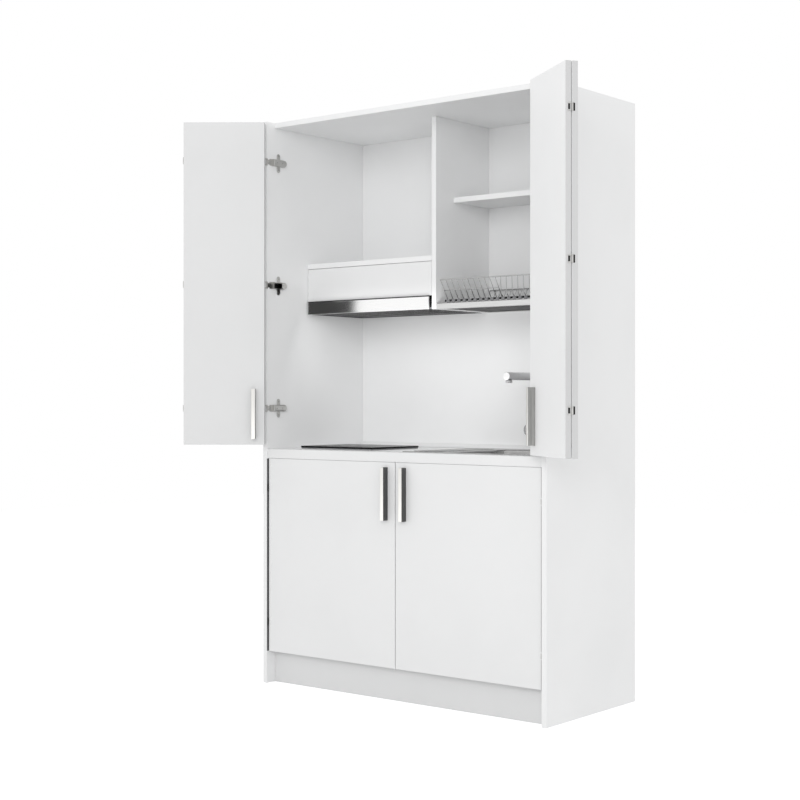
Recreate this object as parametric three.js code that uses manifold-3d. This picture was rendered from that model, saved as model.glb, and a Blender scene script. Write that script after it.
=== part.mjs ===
// Kitchenette unit with sink and hob, in millimetres.
// +X to the right, +Y to the wall behind, +Z up. The origin is on the floor, in the middle of the
// carcass footprint, under the middle foot. The upper folding doors stand open, as at rest.
import * as THREE from 'three';
import { mergeVertices } from 'three/addons/utils/BufferGeometryUtils.js';
import Module from 'manifold-3d';

// ---- carcass ----
const width = 1200;
const depth = 534;
const height = 1990;
const board = 18;             // every panel of the carcass and the doors
const backThickness = 8;
const seat = 0.3;             // between a piece and what carries it
const topRecess = 41;         // top and base behind the side panels' front edges
const plinthHeight = 112;
const plinthRecess = 41.5;
const railHeight = 62;
const frontRailGap = 2;        // rail behind the lower doors
const rearRailHeight = 100;
const rearRailDrop = 48;       // rear rail below the worktop
const footRadius = 25;
const footDiscHeight = 8;
const footStemRadius = 15;
const weld = 1;                // how far the parts of one piece reach into each other

// ---- worktop ----
const worktopHeight = 830;
const worktopThickness = 32;
const upstandHeight = 15;
const upstandThickness = 12;

// ---- doors ----
const doorRecess = 6;         // door faces behind the side panels' front edges
const sideGap = 5;            // door edge to side panel
const centreGap = 4;          // between the two doors, or the two pairs, in the middle
const lowerDoorBottom = 114;
const lowerDoorTopGap = 1.4;
const leafBottomGap = 16;     // upper left leaf above the worktop
const rightLeafDrop = 11;     // the right pair reaches lower than the left one
const leafTopGap = 9;         // upper leaf below the top of the unit
const foldGap = 6;            // between two leaves of a pair when they lie flat
const foldedGap = 3;          // between their backs when they are folded
const leftOpenAngle = 141.5;       // degrees from closed, as they stand
const rightOpenAngle = 144.8;

// ---- handles ----
const handleWidth = 14;
const handleDepth = 25;
const handleLength = 177;
const handleEdge = 37;        // middle of the handle to the free edge of its door
const handleBevel = 1.5;
const handleGroove = 2.5;     // finger groove along each side
const handleGrooveWidth = 9;
const upperHandleInset = 20;  // handle end to the bottom of the left leaf
const lowerHandleInset = 16;  // handle end to door top

// ---- side hinges ----
const pivotRecess = 3;        // hinge axis behind the side panels' front edges
const knuckleRadius = 2.1;
const knuckleHalf = 8;        // half the height of the fixed knuckle
const lugHeight = 3.7;        // each lug of the door, above and below the fixed knuckle
const lugReach = 9;           // how far a lug runs back along the door edge
const strapThickness = 1.6;
const armWidth = 20;
const armRise = 13;
const armStart = 26;          // behind the front edges, clear of a closed door
const armEnd = 92;
const plateWidth = 19;
const plateLength = 66;
const plateThickness = 3;
const plateCentre = 58;
const upperHingeInset = 133;  // top hinge to the top of an upper leaf
const upperHingePitch = 437;
const upperPivotInset = 1;    // upper hinge axis past the inside face of its side panel
const notchWidth = 4.4;       // notch for its knuckle, beyond the axis
const notchDepth = 2.7;       // behind the axis
const notchHalf = 13;
const lowerHingeInset = 105;

// ---- fold hinges ----
const foldBarrelRadius = 2;
const foldPlateThickness = 1.2;
const foldPlateDepth = 12;
const foldHalf = 8;

// ---- inner upper unit ----
const innerSetback = 215;     // its front behind the side panels' front edges
const innerBottom = 1314;
const hoodBoardRise = 166;     // underside of the board over the hood above the unit's underside
const shelfDrop = 286;         // underside of the shelf below the top panel
const shelfSetback = 100;     // behind the front of the inner unit

// ---- cooker hood ----
const hoodSideGap = 8;
const hoodSheet = 2;
const hoodFrontThickness = 16;
const hoodFrontGap = 1.5;
const visorHeight = 46;
const visorThickness = 9;
const visorRearGap = 23.6;     // pushed-in visor to the rear wall of the body
const visorRail = 22;
const visorFrameHeight = 24;
const filterThickness = 6;
const hoodRearGap = 9.4;       // hood body to the back panel
const impellerGap = 2;         // fan to the motor above it
const ledgeWidth = 10;
const runnerGap = 1.2;
const motorRadius = 46;
const motorHeight = 38;
const shaftRadius = 4;
const impellerRadius = 74;
const impellerHeight = 54;
const impellerBlades = 12;
const impellerBlade = 2.4;
const impellerHub = 14;
const impellerRing = 5;
const impellerDisc = 3;
const shaftNutRadius = 8;
const shaftNutHeight = 5;

// ---- dish rack ----
const rackFrameHeight = 18;
const rackFrameWall = 3;
const rackFlange = 22;
const rackFlangeThickness = 2;
const trayInset = 15;         // tray side to the inside of the frame
const trayHeight = 29;
const trayWall = 2;
const rackEndGap = 11;        // rack to the panels at its ends
const rackHeight = 78;
const rackFrontInset = 7;
const rackRearInset = 10.7;    // middle of the rear rail to the back panel
const rackWire = 3;
const rackRail = 5;
const rackWires = 25;
const rackLeanRun = 104;      // how far the slanting part of a wire runs back
const rackRearRun = 39;        // how far the rising part of a wire runs back
const rackFloorRise = 15;

// ---- hob ----
const hobWidth = 330;
const hobDepth = 265;
const hobGlass = 6;
const hobGlassBevel = 1.5;
const hobSideGap = 72;        // from the left side panel
const hobSetback = 91;        // from the front of the worktop
const hobCutMargin = 15;
const hobFrameHeight = 3.7;
const hobFrameInset = 3;
const hobPanDepth = 55;
const hobPanWall = 2;
const hobPanGap = 4;          // pan to the edge of the cut-out

// ---- sink ----
const sinkWidth = 580;
const sinkRearGap = 30.7;      // from the back panel
const sinkRightGap = 25;      // from the right side panel
const sinkSetback = 56;       // from the front of the worktop
const sinkSheet = 2;
const sinkCorner = 15;
const sinkCutMargin = 12;
const bowlWidth = 360;
const bowlLedge = 65;          // behind the bowl, where the tap stands
const bowlDepth = 150;
const bowlCorner = 50;
const bowlRightMargin = 67;
const bowlFrontMargin = 33;
const ribCount = 5;
const ribWidth = 8;
const ribHeight = 1.4;
const ribInset = 2.5;          // rib ends to the ends of the bowl
const ribPitch = 22;
const drainRadius = 45;
const wasteFlange = 56;
const wasteFlangeHeight = 2.5;
const wasteWall = 2;
const wasteCupDepth = 34;
const tailRadius = 20;
const tailLength = 60;
const plugRadius = 38;
const plugThickness = 3;
const plugStemRadius = 5;
const plugKnobRadius = 9;
const plugKnobHeight = 8;
const plugLift = 8;           // how high the knob stands over the plug

// ---- trap ----
const trapRadius = 36;
const trapHeight = 95;
const trapNeckRadius = 26;
const trapNeckHeight = 28;
const trapWall = 3;
const wastePipeRadius = 20;
const outletDrop = 28;        // outlet below the shoulder of the trap
const outletStub = 22;
const outletCollar = 25;

// ---- tap ----
const tapOffset = 42;         // tap to the left of the middle of the bowl
const tapRearMargin = 30;     // tap axis to the rear edge of the sink
const tapBaseRadius = 27;
const tapBaseHeight = 6;
const columnRadius = 17;
const shankRadius = 15;
const shankLength = 55;
const tapHoleRadius = 17.5;
const spoutRise = 253;         // middle of the spout above the worktop
const spoutRadius = 14;
const spoutReach = 203;
const spigotRadius = 10;
const spigotHeight = 12;
const aeratorRadius = 11;
const aeratorHeight = 8;
const aeratorSetback = 16;
const leverRise = 72;          // middle of the lever's cap above the worktop
const leverRadius = 21;
const leverStart = 24;        // rear of the lever's cap in front of the tap axis
const leverLength = 48;
const leverPinRadius = 8;
const leverPinLength = 24;
const leverRodRadius = 3.5;
const leverRodLength = 62;
const leverRodPlace = 40;     // rod in front of the tap axis
const leverDome = 10;          // depth of the cap's domed nose
const leverRodRoot = 2;        // rod let into the cap

// ---- planes that pieces share ----
const front = -depth / 2;
const back = depth / 2;
const halfInside = width / 2 - board;
const insideBack = back - backThickness - seat;
const topUnder = height - board;
const doorFace = front + doorRecess;
const doorBack = doorFace + board;
const worktopUnder = worktopHeight - worktopThickness;
const lowerDoorTop = worktopUnder - lowerDoorTopGap;
const lowerDoorWidth = halfInside - sideGap - centreGap / 2;
const leafBottom = worktopHeight + leafBottomGap;
const leafTop = height - leafTopGap;
const leafWidth = (2 * halfInside - 2 * sideGap - 2 * foldGap - centreGap) / 4;
const pivotX = halfInside - sideGap / 2;
const pivotY = front + pivotRecess;
const pivotToEdge = sideGap / 2;
const faceFromPivot = doorFace - pivotY;
const topHinge = leafTop - upperHingeInset;
const upperHinges = [topHinge - 2 * upperHingePitch, topHinge - upperHingePitch, topHinge];
const upperPivotX = halfInside + upperPivotInset;
const upperPivotToEdge = sideGap + upperPivotInset;
const lowerHinges = [lowerDoorBottom + lowerHingeInset, lowerDoorTop - lowerHingeInset];
const innerFront = front + innerSetback;
const bayLeft = board / 2;

const colours = {
  board: new THREE.MeshStandardMaterial({ color: 0xf1f1ef, roughness: 0.45 }),
  plinth: new THREE.MeshStandardMaterial({ color: 0xdcdcda, roughness: 0.5 }),
  steel: new THREE.MeshStandardMaterial({ color: 0xb9bab8, roughness: 0.35, metalness: 1 }),
  chrome: new THREE.MeshStandardMaterial({ color: 0xd8dadc, roughness: 0.12, metalness: 1 }),
  glass: new THREE.MeshStandardMaterial({ color: 0x0b0b0c, roughness: 0.12 }),
  black: new THREE.MeshStandardMaterial({ color: 0x1b1c1d, roughness: 0.5 }),
  plastic: new THREE.MeshStandardMaterial({ color: 0xe8e8e4, roughness: 0.4 }),
};

const wasm = await Module();
wasm.setup();

const unit = new THREE.Group();
unit.name = 'kitchenette';

// ---- helpers ----
function toSolid(geometry) {
  const bare = geometry.clone();
  bare.deleteAttribute('normal');
  bare.deleteAttribute('uv');
  const merged = mergeVertices(bare, 1e-4);
  const vertProperties = new Float32Array(merged.attributes.position.array);
  const triVerts = new Uint32Array(merged.index.array);
  return new wasm.Manifold(new wasm.Mesh({ numProp: 3, vertProperties, triVerts }));
}

function toGeometry(solid) {
  const mesh = solid.getMesh();
  const geometry = new THREE.BufferGeometry();
  geometry.setAttribute('position', new THREE.BufferAttribute(mesh.vertProperties, 3));
  geometry.setIndex(new THREE.BufferAttribute(mesh.triVerts, 1));
  geometry.computeVertexNormals();
  return geometry;
}

function join(...geometries) {
  const solids = geometries.map(toSolid);
  return toGeometry(solids.reduce((sum, solid) => sum.add(solid)));
}

function cut(geometry, ...tools) {
  const solids = tools.map(toSolid);
  return toGeometry(solids.reduce((rest, solid) => rest.subtract(solid), toSolid(geometry)));
}

// a block between two corners
function block(x0, x1, y0, y1, z0, z1) {
  const geometry = new THREE.BoxGeometry(x1 - x0, y1 - y0, z1 - z0);
  return geometry.translate((x0 + x1) / 2, (y0 + y1) / 2, (z0 + z1) / 2);
}

// a round bar along Z between two heights
function barZ(radius, x, y, z0, z1, sides = 24) {
  const geometry = new THREE.CylinderGeometry(radius, radius, z1 - z0, sides);
  return geometry.rotateX(Math.PI / 2).translate(x, y, (z0 + z1) / 2);
}

// a round bar along Y between two depths
function barY(radius, x, z, y0, y1, sides = 24) {
  const geometry = new THREE.CylinderGeometry(radius, radius, y1 - y0, sides);
  return geometry.translate(x, (y0 + y1) / 2, z);
}

// an upright slab with round corners, seen from above
function roundedBlock(x0, x1, y0, y1, z0, z1, radius) {
  const shape = new THREE.Shape();
  shape.moveTo(x0 + radius, y0);
  shape.lineTo(x1 - radius, y0);
  shape.absarc(x1 - radius, y0 + radius, radius, -Math.PI / 2, 0);
  shape.lineTo(x1, y1 - radius);
  shape.absarc(x1 - radius, y1 - radius, radius, 0, Math.PI / 2);
  shape.lineTo(x0 + radius, y1);
  shape.absarc(x0 + radius, y1 - radius, radius, Math.PI / 2, Math.PI);
  shape.lineTo(x0, y0 + radius);
  shape.absarc(x0 + radius, y0 + radius, radius, Math.PI, 1.5 * Math.PI);
  const settings = { depth: z1 - z0, bevelEnabled: false, curveSegments: 5 };
  const geometry = new THREE.ExtrudeGeometry(shape, settings);
  return geometry.translate(0, 0, z0);
}

// a turned piece: the profile's points are [radius, height]
function turned(profile, x, y, sides = 24) {
  const points = profile.map(([radius, z]) => new THREE.Vector2(radius, z));
  const geometry = new THREE.LatheGeometry(points, sides);
  return geometry.rotateX(Math.PI / 2).translate(x, y, 0);
}

function add(name, geometry, material, parent = unit) {
  const mesh = new THREE.Mesh(geometry, material);
  mesh.name = name;
  parent.add(mesh);
  return mesh;
}

// a plain panel, placed by its middle
function panel(name, [x0, x1], [y0, y1], [z0, z1], material = colours.board) {
  const mesh = add(name, new THREE.BoxGeometry(x1 - x0, y1 - y0, z1 - z0), material);
  mesh.position.set((x0 + x1) / 2, (y0 + y1) / 2, (z0 + z1) / 2);
  return mesh;
}

// ---- carcass ----
const between = [-halfInside + seat, halfInside - seat];
// each side panel has a notch in its front edge for every upper knuckle
for (const [name, side] of [['side_panel_left', -1], ['side_panel_right', 1]]) {
  const slabX = side > 0 ? halfInside : -width / 2;
  const notchX = side > 0 ? halfInside - weld : -upperPivotX - notchWidth;
  const notches = upperHinges.map((z) => block(notchX, notchX + upperPivotInset + notchWidth + weld,
    front - weld, pivotY + notchDepth, z - notchHalf, z + notchHalf));
  add(name, cut(block(slabX, slabX + board, front, back, 0, height), ...notches), colours.board);
}
panel('top_panel', between, [front + topRecess, insideBack], [topUnder, height]);
panel('base_panel', between, [front + topRecess, insideBack], [plinthHeight, plinthHeight + board]);
const plinthFace = front + plinthRecess;
panel('plinth_board', between, [plinthFace, plinthFace + board], [0, plinthHeight - seat], colours.plinth);
panel('back_panel', between, [back - backThickness, back], [worktopUnder, height]);
const frontRailFace = doorBack + frontRailGap;
panel('front_rail', between, [frontRailFace, frontRailFace + board],
  [worktopUnder - seat - railHeight, worktopUnder - seat]);
const rearRailTop = worktopUnder - rearRailDrop;
panel('rear_rail', between, [insideBack - board, insideBack], [rearRailTop - rearRailHeight, rearRailTop]);
add('middle_foot', join(
  barZ(footRadius, 0, 0, 0, footDiscHeight),
  barZ(footStemRadius, 0, 0, footDiscHeight / 2, plinthHeight - seat),
), colours.black);

// ---- worktop with its two cut-outs ----
const hobLeft = -halfInside + hobSideGap;
const hobRight = hobLeft + hobWidth;
const hobFront = doorFace + hobSetback;
const hobRear = hobFront + hobDepth;
const sinkRight = halfInside - sinkRightGap;
const sinkLeft = sinkRight - sinkWidth;
const sinkFront = doorFace + sinkSetback;
const sinkRear = insideBack - sinkRearGap;
const cutDepth = 5;
const worktopSlab = block(between[0], between[1], doorFace, insideBack, worktopUnder, worktopHeight);
const hobHole = block(hobLeft + hobCutMargin, hobRight - hobCutMargin, hobFront + hobCutMargin,
  hobRear - hobCutMargin, worktopUnder - cutDepth, worktopHeight + cutDepth);
const sinkHole = roundedBlock(sinkLeft + sinkCutMargin, sinkRight - sinkCutMargin, sinkFront + sinkCutMargin,
  sinkRear - sinkCutMargin, worktopUnder - cutDepth, worktopHeight + cutDepth, sinkCorner);
add('worktop', cut(worktopSlab, hobHole, sinkHole), colours.board);
panel('upstand', between, [insideBack - upstandThickness, insideBack],
  [worktopHeight + seat, worktopHeight + upstandHeight]);

// ---- hob ----
const hobFrameTop = worktopHeight + seat + hobFrameHeight;
const hobFrame = block(hobLeft + hobFrameInset, hobRight - hobFrameInset, hobFront + hobFrameInset,
  hobRear - hobFrameInset, worktopHeight + seat, hobFrameTop);
const panMargin = hobCutMargin + hobPanGap;
const panFloor = worktopHeight - hobPanDepth;
const hobPan = block(hobLeft + panMargin, hobRight - panMargin, hobFront + panMargin, hobRear - panMargin,
  panFloor, hobFrameTop);
const panInside = panMargin + hobPanWall;
const hobPanHollow = block(hobLeft + panInside, hobRight - panInside, hobFront + panInside,
  hobRear - panInside, panFloor + hobPanWall, hobFrameTop + cutDepth);
add('hob_base', cut(join(hobFrame, hobPan), hobPanHollow), colours.steel);
const glassOutline = new THREE.Shape();
glassOutline.moveTo(hobLeft + hobGlassBevel, hobFront + hobGlassBevel);
glassOutline.lineTo(hobRight - hobGlassBevel, hobFront + hobGlassBevel);
glassOutline.lineTo(hobRight - hobGlassBevel, hobRear - hobGlassBevel);
glassOutline.lineTo(hobLeft + hobGlassBevel, hobRear - hobGlassBevel);
const glass = new THREE.ExtrudeGeometry(glassOutline, {
  depth: hobGlass - 2 * hobGlassBevel,
  bevelEnabled: true,
  bevelThickness: hobGlassBevel,
  bevelSize: hobGlassBevel,
  bevelSegments: 1,
});
add('hob_glass', toGeometry(toSolid(glass)), colours.glass).position.z = hobFrameTop + seat + hobGlassBevel;

// ---- sink ----
const sinkUnder = worktopHeight + seat;
const sinkTop = sinkUnder + sinkSheet;
const bowlRight = sinkRight - bowlRightMargin;
const bowlLeft = bowlRight - bowlWidth;
const bowlFront = sinkFront + bowlFrontMargin;
const bowlRear = sinkRear - bowlLedge;
const bowlFloor = sinkTop - bowlDepth;
const bowlX = (bowlLeft + bowlRight) / 2;
const bowlY = (bowlFront + bowlRear) / 2;
const tapX = bowlX - tapOffset;
const tapY = sinkRear - tapRearMargin;
const sinkPlate = roundedBlock(sinkLeft, sinkRight, sinkFront, sinkRear, sinkUnder, sinkTop, sinkCorner);
const bowlOuter = roundedBlock(bowlLeft - sinkSheet, bowlRight + sinkSheet, bowlFront - sinkSheet,
  bowlRear + sinkSheet, bowlFloor - sinkSheet, sinkTop, bowlCorner + sinkSheet);
const bowlInner = roundedBlock(bowlLeft, bowlRight, bowlFront, bowlRear, bowlFloor,
  sinkTop + cutDepth, bowlCorner);
const drainMiddle = (sinkLeft + bowlLeft) / 2;
const ribs = [];
for (let i = 0; i < ribCount; i += 1) {
  const x = drainMiddle + (i - (ribCount - 1) / 2) * ribPitch;
  ribs.push(block(x - ribWidth / 2, x + ribWidth / 2, bowlFront + ribInset, bowlRear - ribInset,
    sinkTop - sinkSheet / 2, sinkTop + ribHeight));
}
add('sink', cut(
  join(sinkPlate, bowlOuter, ...ribs),
  bowlInner,
  barZ(drainRadius, bowlX, bowlY, bowlFloor - 2 * sinkSheet, bowlFloor + sinkSheet),
  barZ(tapHoleRadius, tapX, tapY, sinkUnder - sinkSheet, sinkTop + sinkSheet),
), colours.steel);

const cupRadius = drainRadius - 1;
const cupFloor = bowlFloor - wasteCupDepth;
const tailEnd = cupFloor - tailLength;
add('waste_fitting', turned([
  [tailRadius - wasteWall, tailEnd],
  [tailRadius, tailEnd],
  [tailRadius, cupFloor - wasteWall],
  [cupRadius, cupFloor - wasteWall],
  [cupRadius, bowlFloor + seat],
  [wasteFlange, bowlFloor + seat],
  [wasteFlange, bowlFloor + seat + wasteFlangeHeight / 2],
  [wasteFlange - wasteFlangeHeight, bowlFloor + seat + wasteFlangeHeight],
  [cupRadius - wasteWall, bowlFloor + seat + wasteFlangeHeight],
  [cupRadius - wasteWall, cupFloor],
  [tailRadius - wasteWall, cupFloor],
  [tailRadius - wasteWall, tailEnd],
], bowlX, bowlY), colours.chrome);

const plugUnder = cupFloor + seat;
add('sink_plug', turned([
  [0, plugUnder],
  [plugRadius - plugThickness, plugUnder],
  [plugRadius, plugUnder + plugThickness],
  [plugStemRadius, plugUnder + plugThickness],
  [plugStemRadius, plugUnder + plugThickness + plugLift],
  [plugKnobRadius, plugUnder + plugThickness + plugLift],
  [plugKnobRadius, plugUnder + plugThickness + plugLift + plugKnobHeight],
  [0, plugUnder + plugThickness + plugLift + plugKnobHeight],
], bowlX, bowlY), colours.chrome);

// ---- trap and waste pipe ----
const neckTop = tailEnd + trapNeckHeight;
const shoulder = tailEnd - seat;
const trapFloor = shoulder - trapHeight;
const outletZ = shoulder - outletDrop;
const trapShell = turned([
  [0, trapFloor],
  [trapRadius * 0.7, trapFloor],
  [trapRadius, trapFloor + trapRadius * 0.3],
  [trapRadius, shoulder],
  [trapNeckRadius, shoulder + trapWall],
  [trapNeckRadius, neckTop],
  [tailRadius + seat, neckTop],
  [tailRadius + seat, shoulder],
  [trapRadius - trapWall, shoulder - trapWall],
  [trapRadius - trapWall, trapFloor + trapWall],
  [0, trapFloor + trapWall],
], bowlX, bowlY);
const outletRoot = bowlY + trapRadius;
const outletEnd = outletRoot + outletStub;
const stub = barY(outletCollar, bowlX, outletZ, outletRoot - trapWall * 1.5, outletEnd);
const stubBore = barY(wastePipeRadius + seat, bowlX, outletZ, bowlY + trapNeckRadius, outletEnd + cutDepth);
add('trap', cut(join(trapShell, stub), stubBore), colours.plastic);
const wastePipe = barY(wastePipeRadius, bowlX, outletZ, outletRoot + seat, back);
const wastePipeBore = barY(wastePipeRadius - wasteWall, bowlX, outletZ, outletRoot - cutDepth,
  back + cutDepth);
add('waste_pipe', cut(wastePipe, wastePipeBore), colours.plastic);

// ---- tap ----
const tapFoot = sinkTop + seat;
const spoutHeight = worktopHeight + spoutRise;
const leverHeight = worktopHeight + leverRise;
const columnTop = spoutHeight - spoutRadius - seat;
const capRear = tapY - leverStart;
const pinFront = capRear - leverPinLength;
add('tap_body', join(
  turned([
    [0, sinkUnder - shankLength],
    [shankRadius, sinkUnder - shankLength],
    [shankRadius, tapFoot],
    [tapBaseRadius, tapFoot],
    [tapBaseRadius, tapFoot + tapBaseHeight / 2],
    [columnRadius, tapFoot + tapBaseHeight],
    [columnRadius, columnTop],
    [spigotRadius, columnTop],
    [spigotRadius, columnTop + spigotHeight],
    [0, columnTop + spigotHeight],
  ], tapX, tapY),
  barY(columnRadius, tapX, leverHeight, capRear + seat, tapY),
  barY(leverPinRadius, tapX, leverHeight, pinFront, tapY),
), colours.chrome);

const spoutFront = tapY - spoutReach;
const spoutTube = barY(spoutRadius, tapX, spoutHeight, spoutFront, tapY + columnRadius);
const spoutHub = barZ(columnRadius, tapX, tapY, columnTop + seat, spoutHeight + spoutRadius);
const socketTop = columnTop + spigotHeight + seat;
const spoutSocket = barZ(spigotRadius + seat, tapX, tapY, columnTop - cutDepth, socketTop);
const aeratorY = spoutFront + aeratorSetback;
add('tap_spout', cut(join(spoutTube, spoutHub), spoutSocket), colours.chrome);
const aeratorTop = spoutHeight - spoutRadius - seat;
add('tap_aerator', cut(
  barZ(aeratorRadius, tapX, aeratorY, aeratorTop - aeratorHeight, aeratorTop),
  barZ(aeratorRadius - wasteWall, tapX, aeratorY, aeratorTop - aeratorHeight - seat, aeratorTop - wasteWall),
), colours.chrome);

// a cap with a domed nose, and a rod that points to the right
const domeSteps = 4;
const capProfile = [];
for (let i = 0; i <= domeSteps; i += 1) {
  const angle = (i / domeSteps) * (Math.PI / 2);
  capProfile.push([leverRadius * Math.sin(angle), leverDome * (1 - Math.cos(angle))]);
}
capProfile.push([leverRadius, leverLength], [0, leverLength]);
const cap = new THREE.LatheGeometry(capProfile.map(([radius, y]) => new THREE.Vector2(radius, y)), 24);
cap.translate(tapX, capRear - leverLength, leverHeight);
const rod = new THREE.CylinderGeometry(leverRodRadius, leverRodRadius, leverRodLength, 12);
rod.rotateZ(Math.PI / 2);
rod.translate(tapX + leverRadius - leverRodRoot + leverRodLength / 2, tapY - leverRodPlace, leverHeight);
add('tap_lever', cut(
  join(cap, rod),
  barY(leverPinRadius + seat, tapX, leverHeight, pinFront - seat, capRear + cutDepth),
), colours.chrome);

// ---- inner upper unit ----
const innerDepth = [innerFront, insideBack];
const leftBay = [-halfInside + seat, -bayLeft - seat];
const rightBay = [bayLeft + seat, halfInside - seat];
panel('divider_panel', [-bayLeft, bayLeft], innerDepth, [innerBottom, topUnder - seat]);
const hoodBoardBottom = innerBottom + hoodBoardRise;
panel('hood_board', leftBay, innerDepth, [hoodBoardBottom, hoodBoardBottom + board]);
const shelfBottom = topUnder - shelfDrop;
panel('dish_shelf', rightBay, [innerFront + shelfSetback, insideBack], [shelfBottom, shelfBottom + board]);

// ---- cooker hood ----
const hoodLeft = -halfInside + hoodSideGap;
const hoodRight = -bayLeft - hoodSideGap;
const hoodX = (hoodLeft + hoodRight) / 2;
const visorTop = innerBottom + visorHeight;
const hoodPanelBottom = visorTop + hoodFrontGap;
const bodyFront = innerFront + hoodFrontThickness + seat;
const bodyBack = insideBack - hoodRearGap;
const bodyTop = hoodBoardBottom - seat;
const hoodY = (bodyFront + bodyBack) / 2;
panel('hood_front_panel', [-halfInside + hoodFrontGap, -bayLeft - hoodFrontGap],
  [innerFront, innerFront + hoodFrontThickness], [hoodPanelBottom, hoodBoardBottom - hoodFrontGap]);

// the body is an open-bottomed box with two ledges on each side: the lower pair carries the filter,
// the upper pair the sliding visor, which leaves through the slot under the front wall
const filterUnder = innerBottom + hoodSheet + seat;
const visorLedge = filterUnder + filterThickness + runnerGap;
const visorUnder = visorLedge + hoodSheet + seat;
const visorFrameTop = visorUnder + visorFrameHeight;
const hoodShell = cut(
  block(hoodLeft, hoodRight, bodyFront, bodyBack, innerBottom, bodyTop),
  block(hoodLeft + hoodSheet, hoodRight - hoodSheet, bodyFront + hoodSheet, bodyBack - hoodSheet,
    innerBottom - cutDepth, bodyTop - hoodSheet),
  block(hoodLeft + hoodSheet, hoodRight - hoodSheet, bodyFront - cutDepth, bodyFront + 2 * hoodSheet,
    innerBottom - cutDepth, hoodPanelBottom),
);
const ledges = [];
for (const z of [innerBottom, visorLedge]) {
  for (const x of [hoodLeft + hoodSheet / 2, hoodRight - hoodSheet / 2 - ledgeWidth]) {
    ledges.push(block(x, x + ledgeWidth, bodyFront, bodyBack, z, z + hoodSheet));
  }
}
add('hood_body', join(hoodShell, ...ledges), colours.steel);
const filterGap = 1;
panel('hood_filter', [hoodLeft + hoodSheet + filterGap, hoodRight - hoodSheet - filterGap],
  [bodyFront, bodyBack - hoodSheet - seat], [filterUnder, filterUnder + filterThickness], colours.steel);

const visorFront = innerFront - seat - visorThickness;
const visorBack = bodyBack - hoodSheet - visorRearGap;
const visorLeft = hoodLeft + hoodSheet + runnerGap;
const visorRight = hoodRight - hoodSheet - runnerGap;
add('hood_visor', cut(
  join(
    block(hoodLeft, hoodRight, visorFront, visorFront + visorThickness, innerBottom, visorTop),
    block(visorLeft, visorRight, visorFront + visorThickness / 2, visorBack, visorUnder, visorFrameTop),
  ),
  block(visorLeft + visorRail, visorRight - visorRail, visorFront + visorThickness + visorRail,
    visorBack - visorRail, visorUnder - cutDepth, visorFrameTop + cutDepth),
), colours.steel);

const motorTop = bodyTop - hoodSheet - seat;
const motorUnder = motorTop - motorHeight;
const impellerTop = motorUnder - impellerGap;
const impellerUnder = impellerTop - impellerHeight;
add('hood_motor', turned([
  [0, impellerUnder - seat - shaftNutHeight],
  [shaftNutRadius, impellerUnder - seat - shaftNutHeight],
  [shaftNutRadius, impellerUnder - seat],
  [shaftRadius, impellerUnder - seat],
  [shaftRadius, motorUnder],
  [motorRadius * 0.9, motorUnder],
  [motorRadius, motorUnder + motorRadius * 0.1],
  [motorRadius, motorTop],
  [0, motorTop],
], hoodX, hoodY), colours.black);

const blades = [];
for (let i = 0; i < impellerBlades; i += 1) {
  const blade = block(impellerRadius - 4 * impellerRing, impellerRadius - impellerRing / 2,
    -impellerBlade / 2, impellerBlade / 2, impellerUnder + impellerDisc / 2, impellerTop);
  blades.push(blade.rotateZ((i * 2 * Math.PI) / impellerBlades).translate(hoodX, hoodY, 0));
}
const rimBottom = impellerTop - impellerRing;
const impellerRim = cut(
  barZ(impellerRadius, hoodX, hoodY, rimBottom, impellerTop, 30),
  barZ(impellerRadius - impellerRing, hoodX, hoodY, rimBottom - cutDepth, impellerTop + cutDepth, 30),
);
add('hood_impeller', cut(
  join(
    barZ(impellerRadius, hoodX, hoodY, impellerUnder, impellerUnder + impellerDisc, 30),
    barZ(impellerHub, hoodX, hoodY, impellerUnder, impellerTop),
    ...blades,
    impellerRim,
  ),
  barZ(shaftRadius + seat, hoodX, hoodY, impellerUnder - cutDepth, impellerTop + cutDepth),
), colours.black);

// ---- dish rack, its frame and its drip tray ----
const frameTop = innerBottom + rackFrameHeight;
const trayLeft = rightBay[0] + rackFrameWall + trayInset;
const trayRight = rightBay[1] - rackFrameWall - trayInset;
const trayFront = innerFront + rackFrameWall + trayInset;
const trayBack = insideBack - rackFrameWall - trayInset;
add('rack_frame', cut(
  block(rightBay[0], rightBay[1], innerFront, insideBack, innerBottom, frameTop),
  block(rightBay[0] + rackFrameWall, rightBay[1] - rackFrameWall, innerFront + rackFrameWall,
    insideBack - rackFrameWall, innerBottom + rackFlangeThickness, frameTop + cutDepth),
  block(rightBay[0] + rackFlange, rightBay[1] - rackFlange, innerFront + rackFlange, insideBack - rackFlange,
    innerBottom - cutDepth, frameTop),
), colours.steel);
const trayUnder = innerBottom + rackFlangeThickness + seat;
add('drip_tray', cut(
  block(trayLeft, trayRight, trayFront, trayBack, trayUnder, trayUnder + trayHeight),
  block(trayLeft + trayWall, trayRight - trayWall, trayFront + trayWall, trayBack - trayWall,
    trayUnder + trayWall, trayUnder + trayHeight + cutDepth),
), colours.black);

// every wire goes up at the front, slants back to the floor, runs back and rises again
const rackLeft = rightBay[0] + rackEndGap;
const rackRight = rightBay[1] - rackEndGap;
const rackFront = innerFront + rackFrontInset;
const rackBase = frameTop + seat + rackRail / 2;
const rackTop = rackBase + rackHeight;
const rackFloor = rackBase + rackFloorRise;
const rackBack = insideBack - rackRearInset;
const wireStart = rackLeft + rackRail / 2;
const wirePitch = (rackRight - rackRail / 2 - wireStart) / (rackWires - 1);
const wireSection = new THREE.Shape();
wireSection.moveTo(-rackWire / 2, -rackWire / 2);
wireSection.lineTo(rackWire / 2, -rackWire / 2);
wireSection.lineTo(rackWire / 2, rackWire / 2);
wireSection.lineTo(-rackWire / 2, rackWire / 2);

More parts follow.
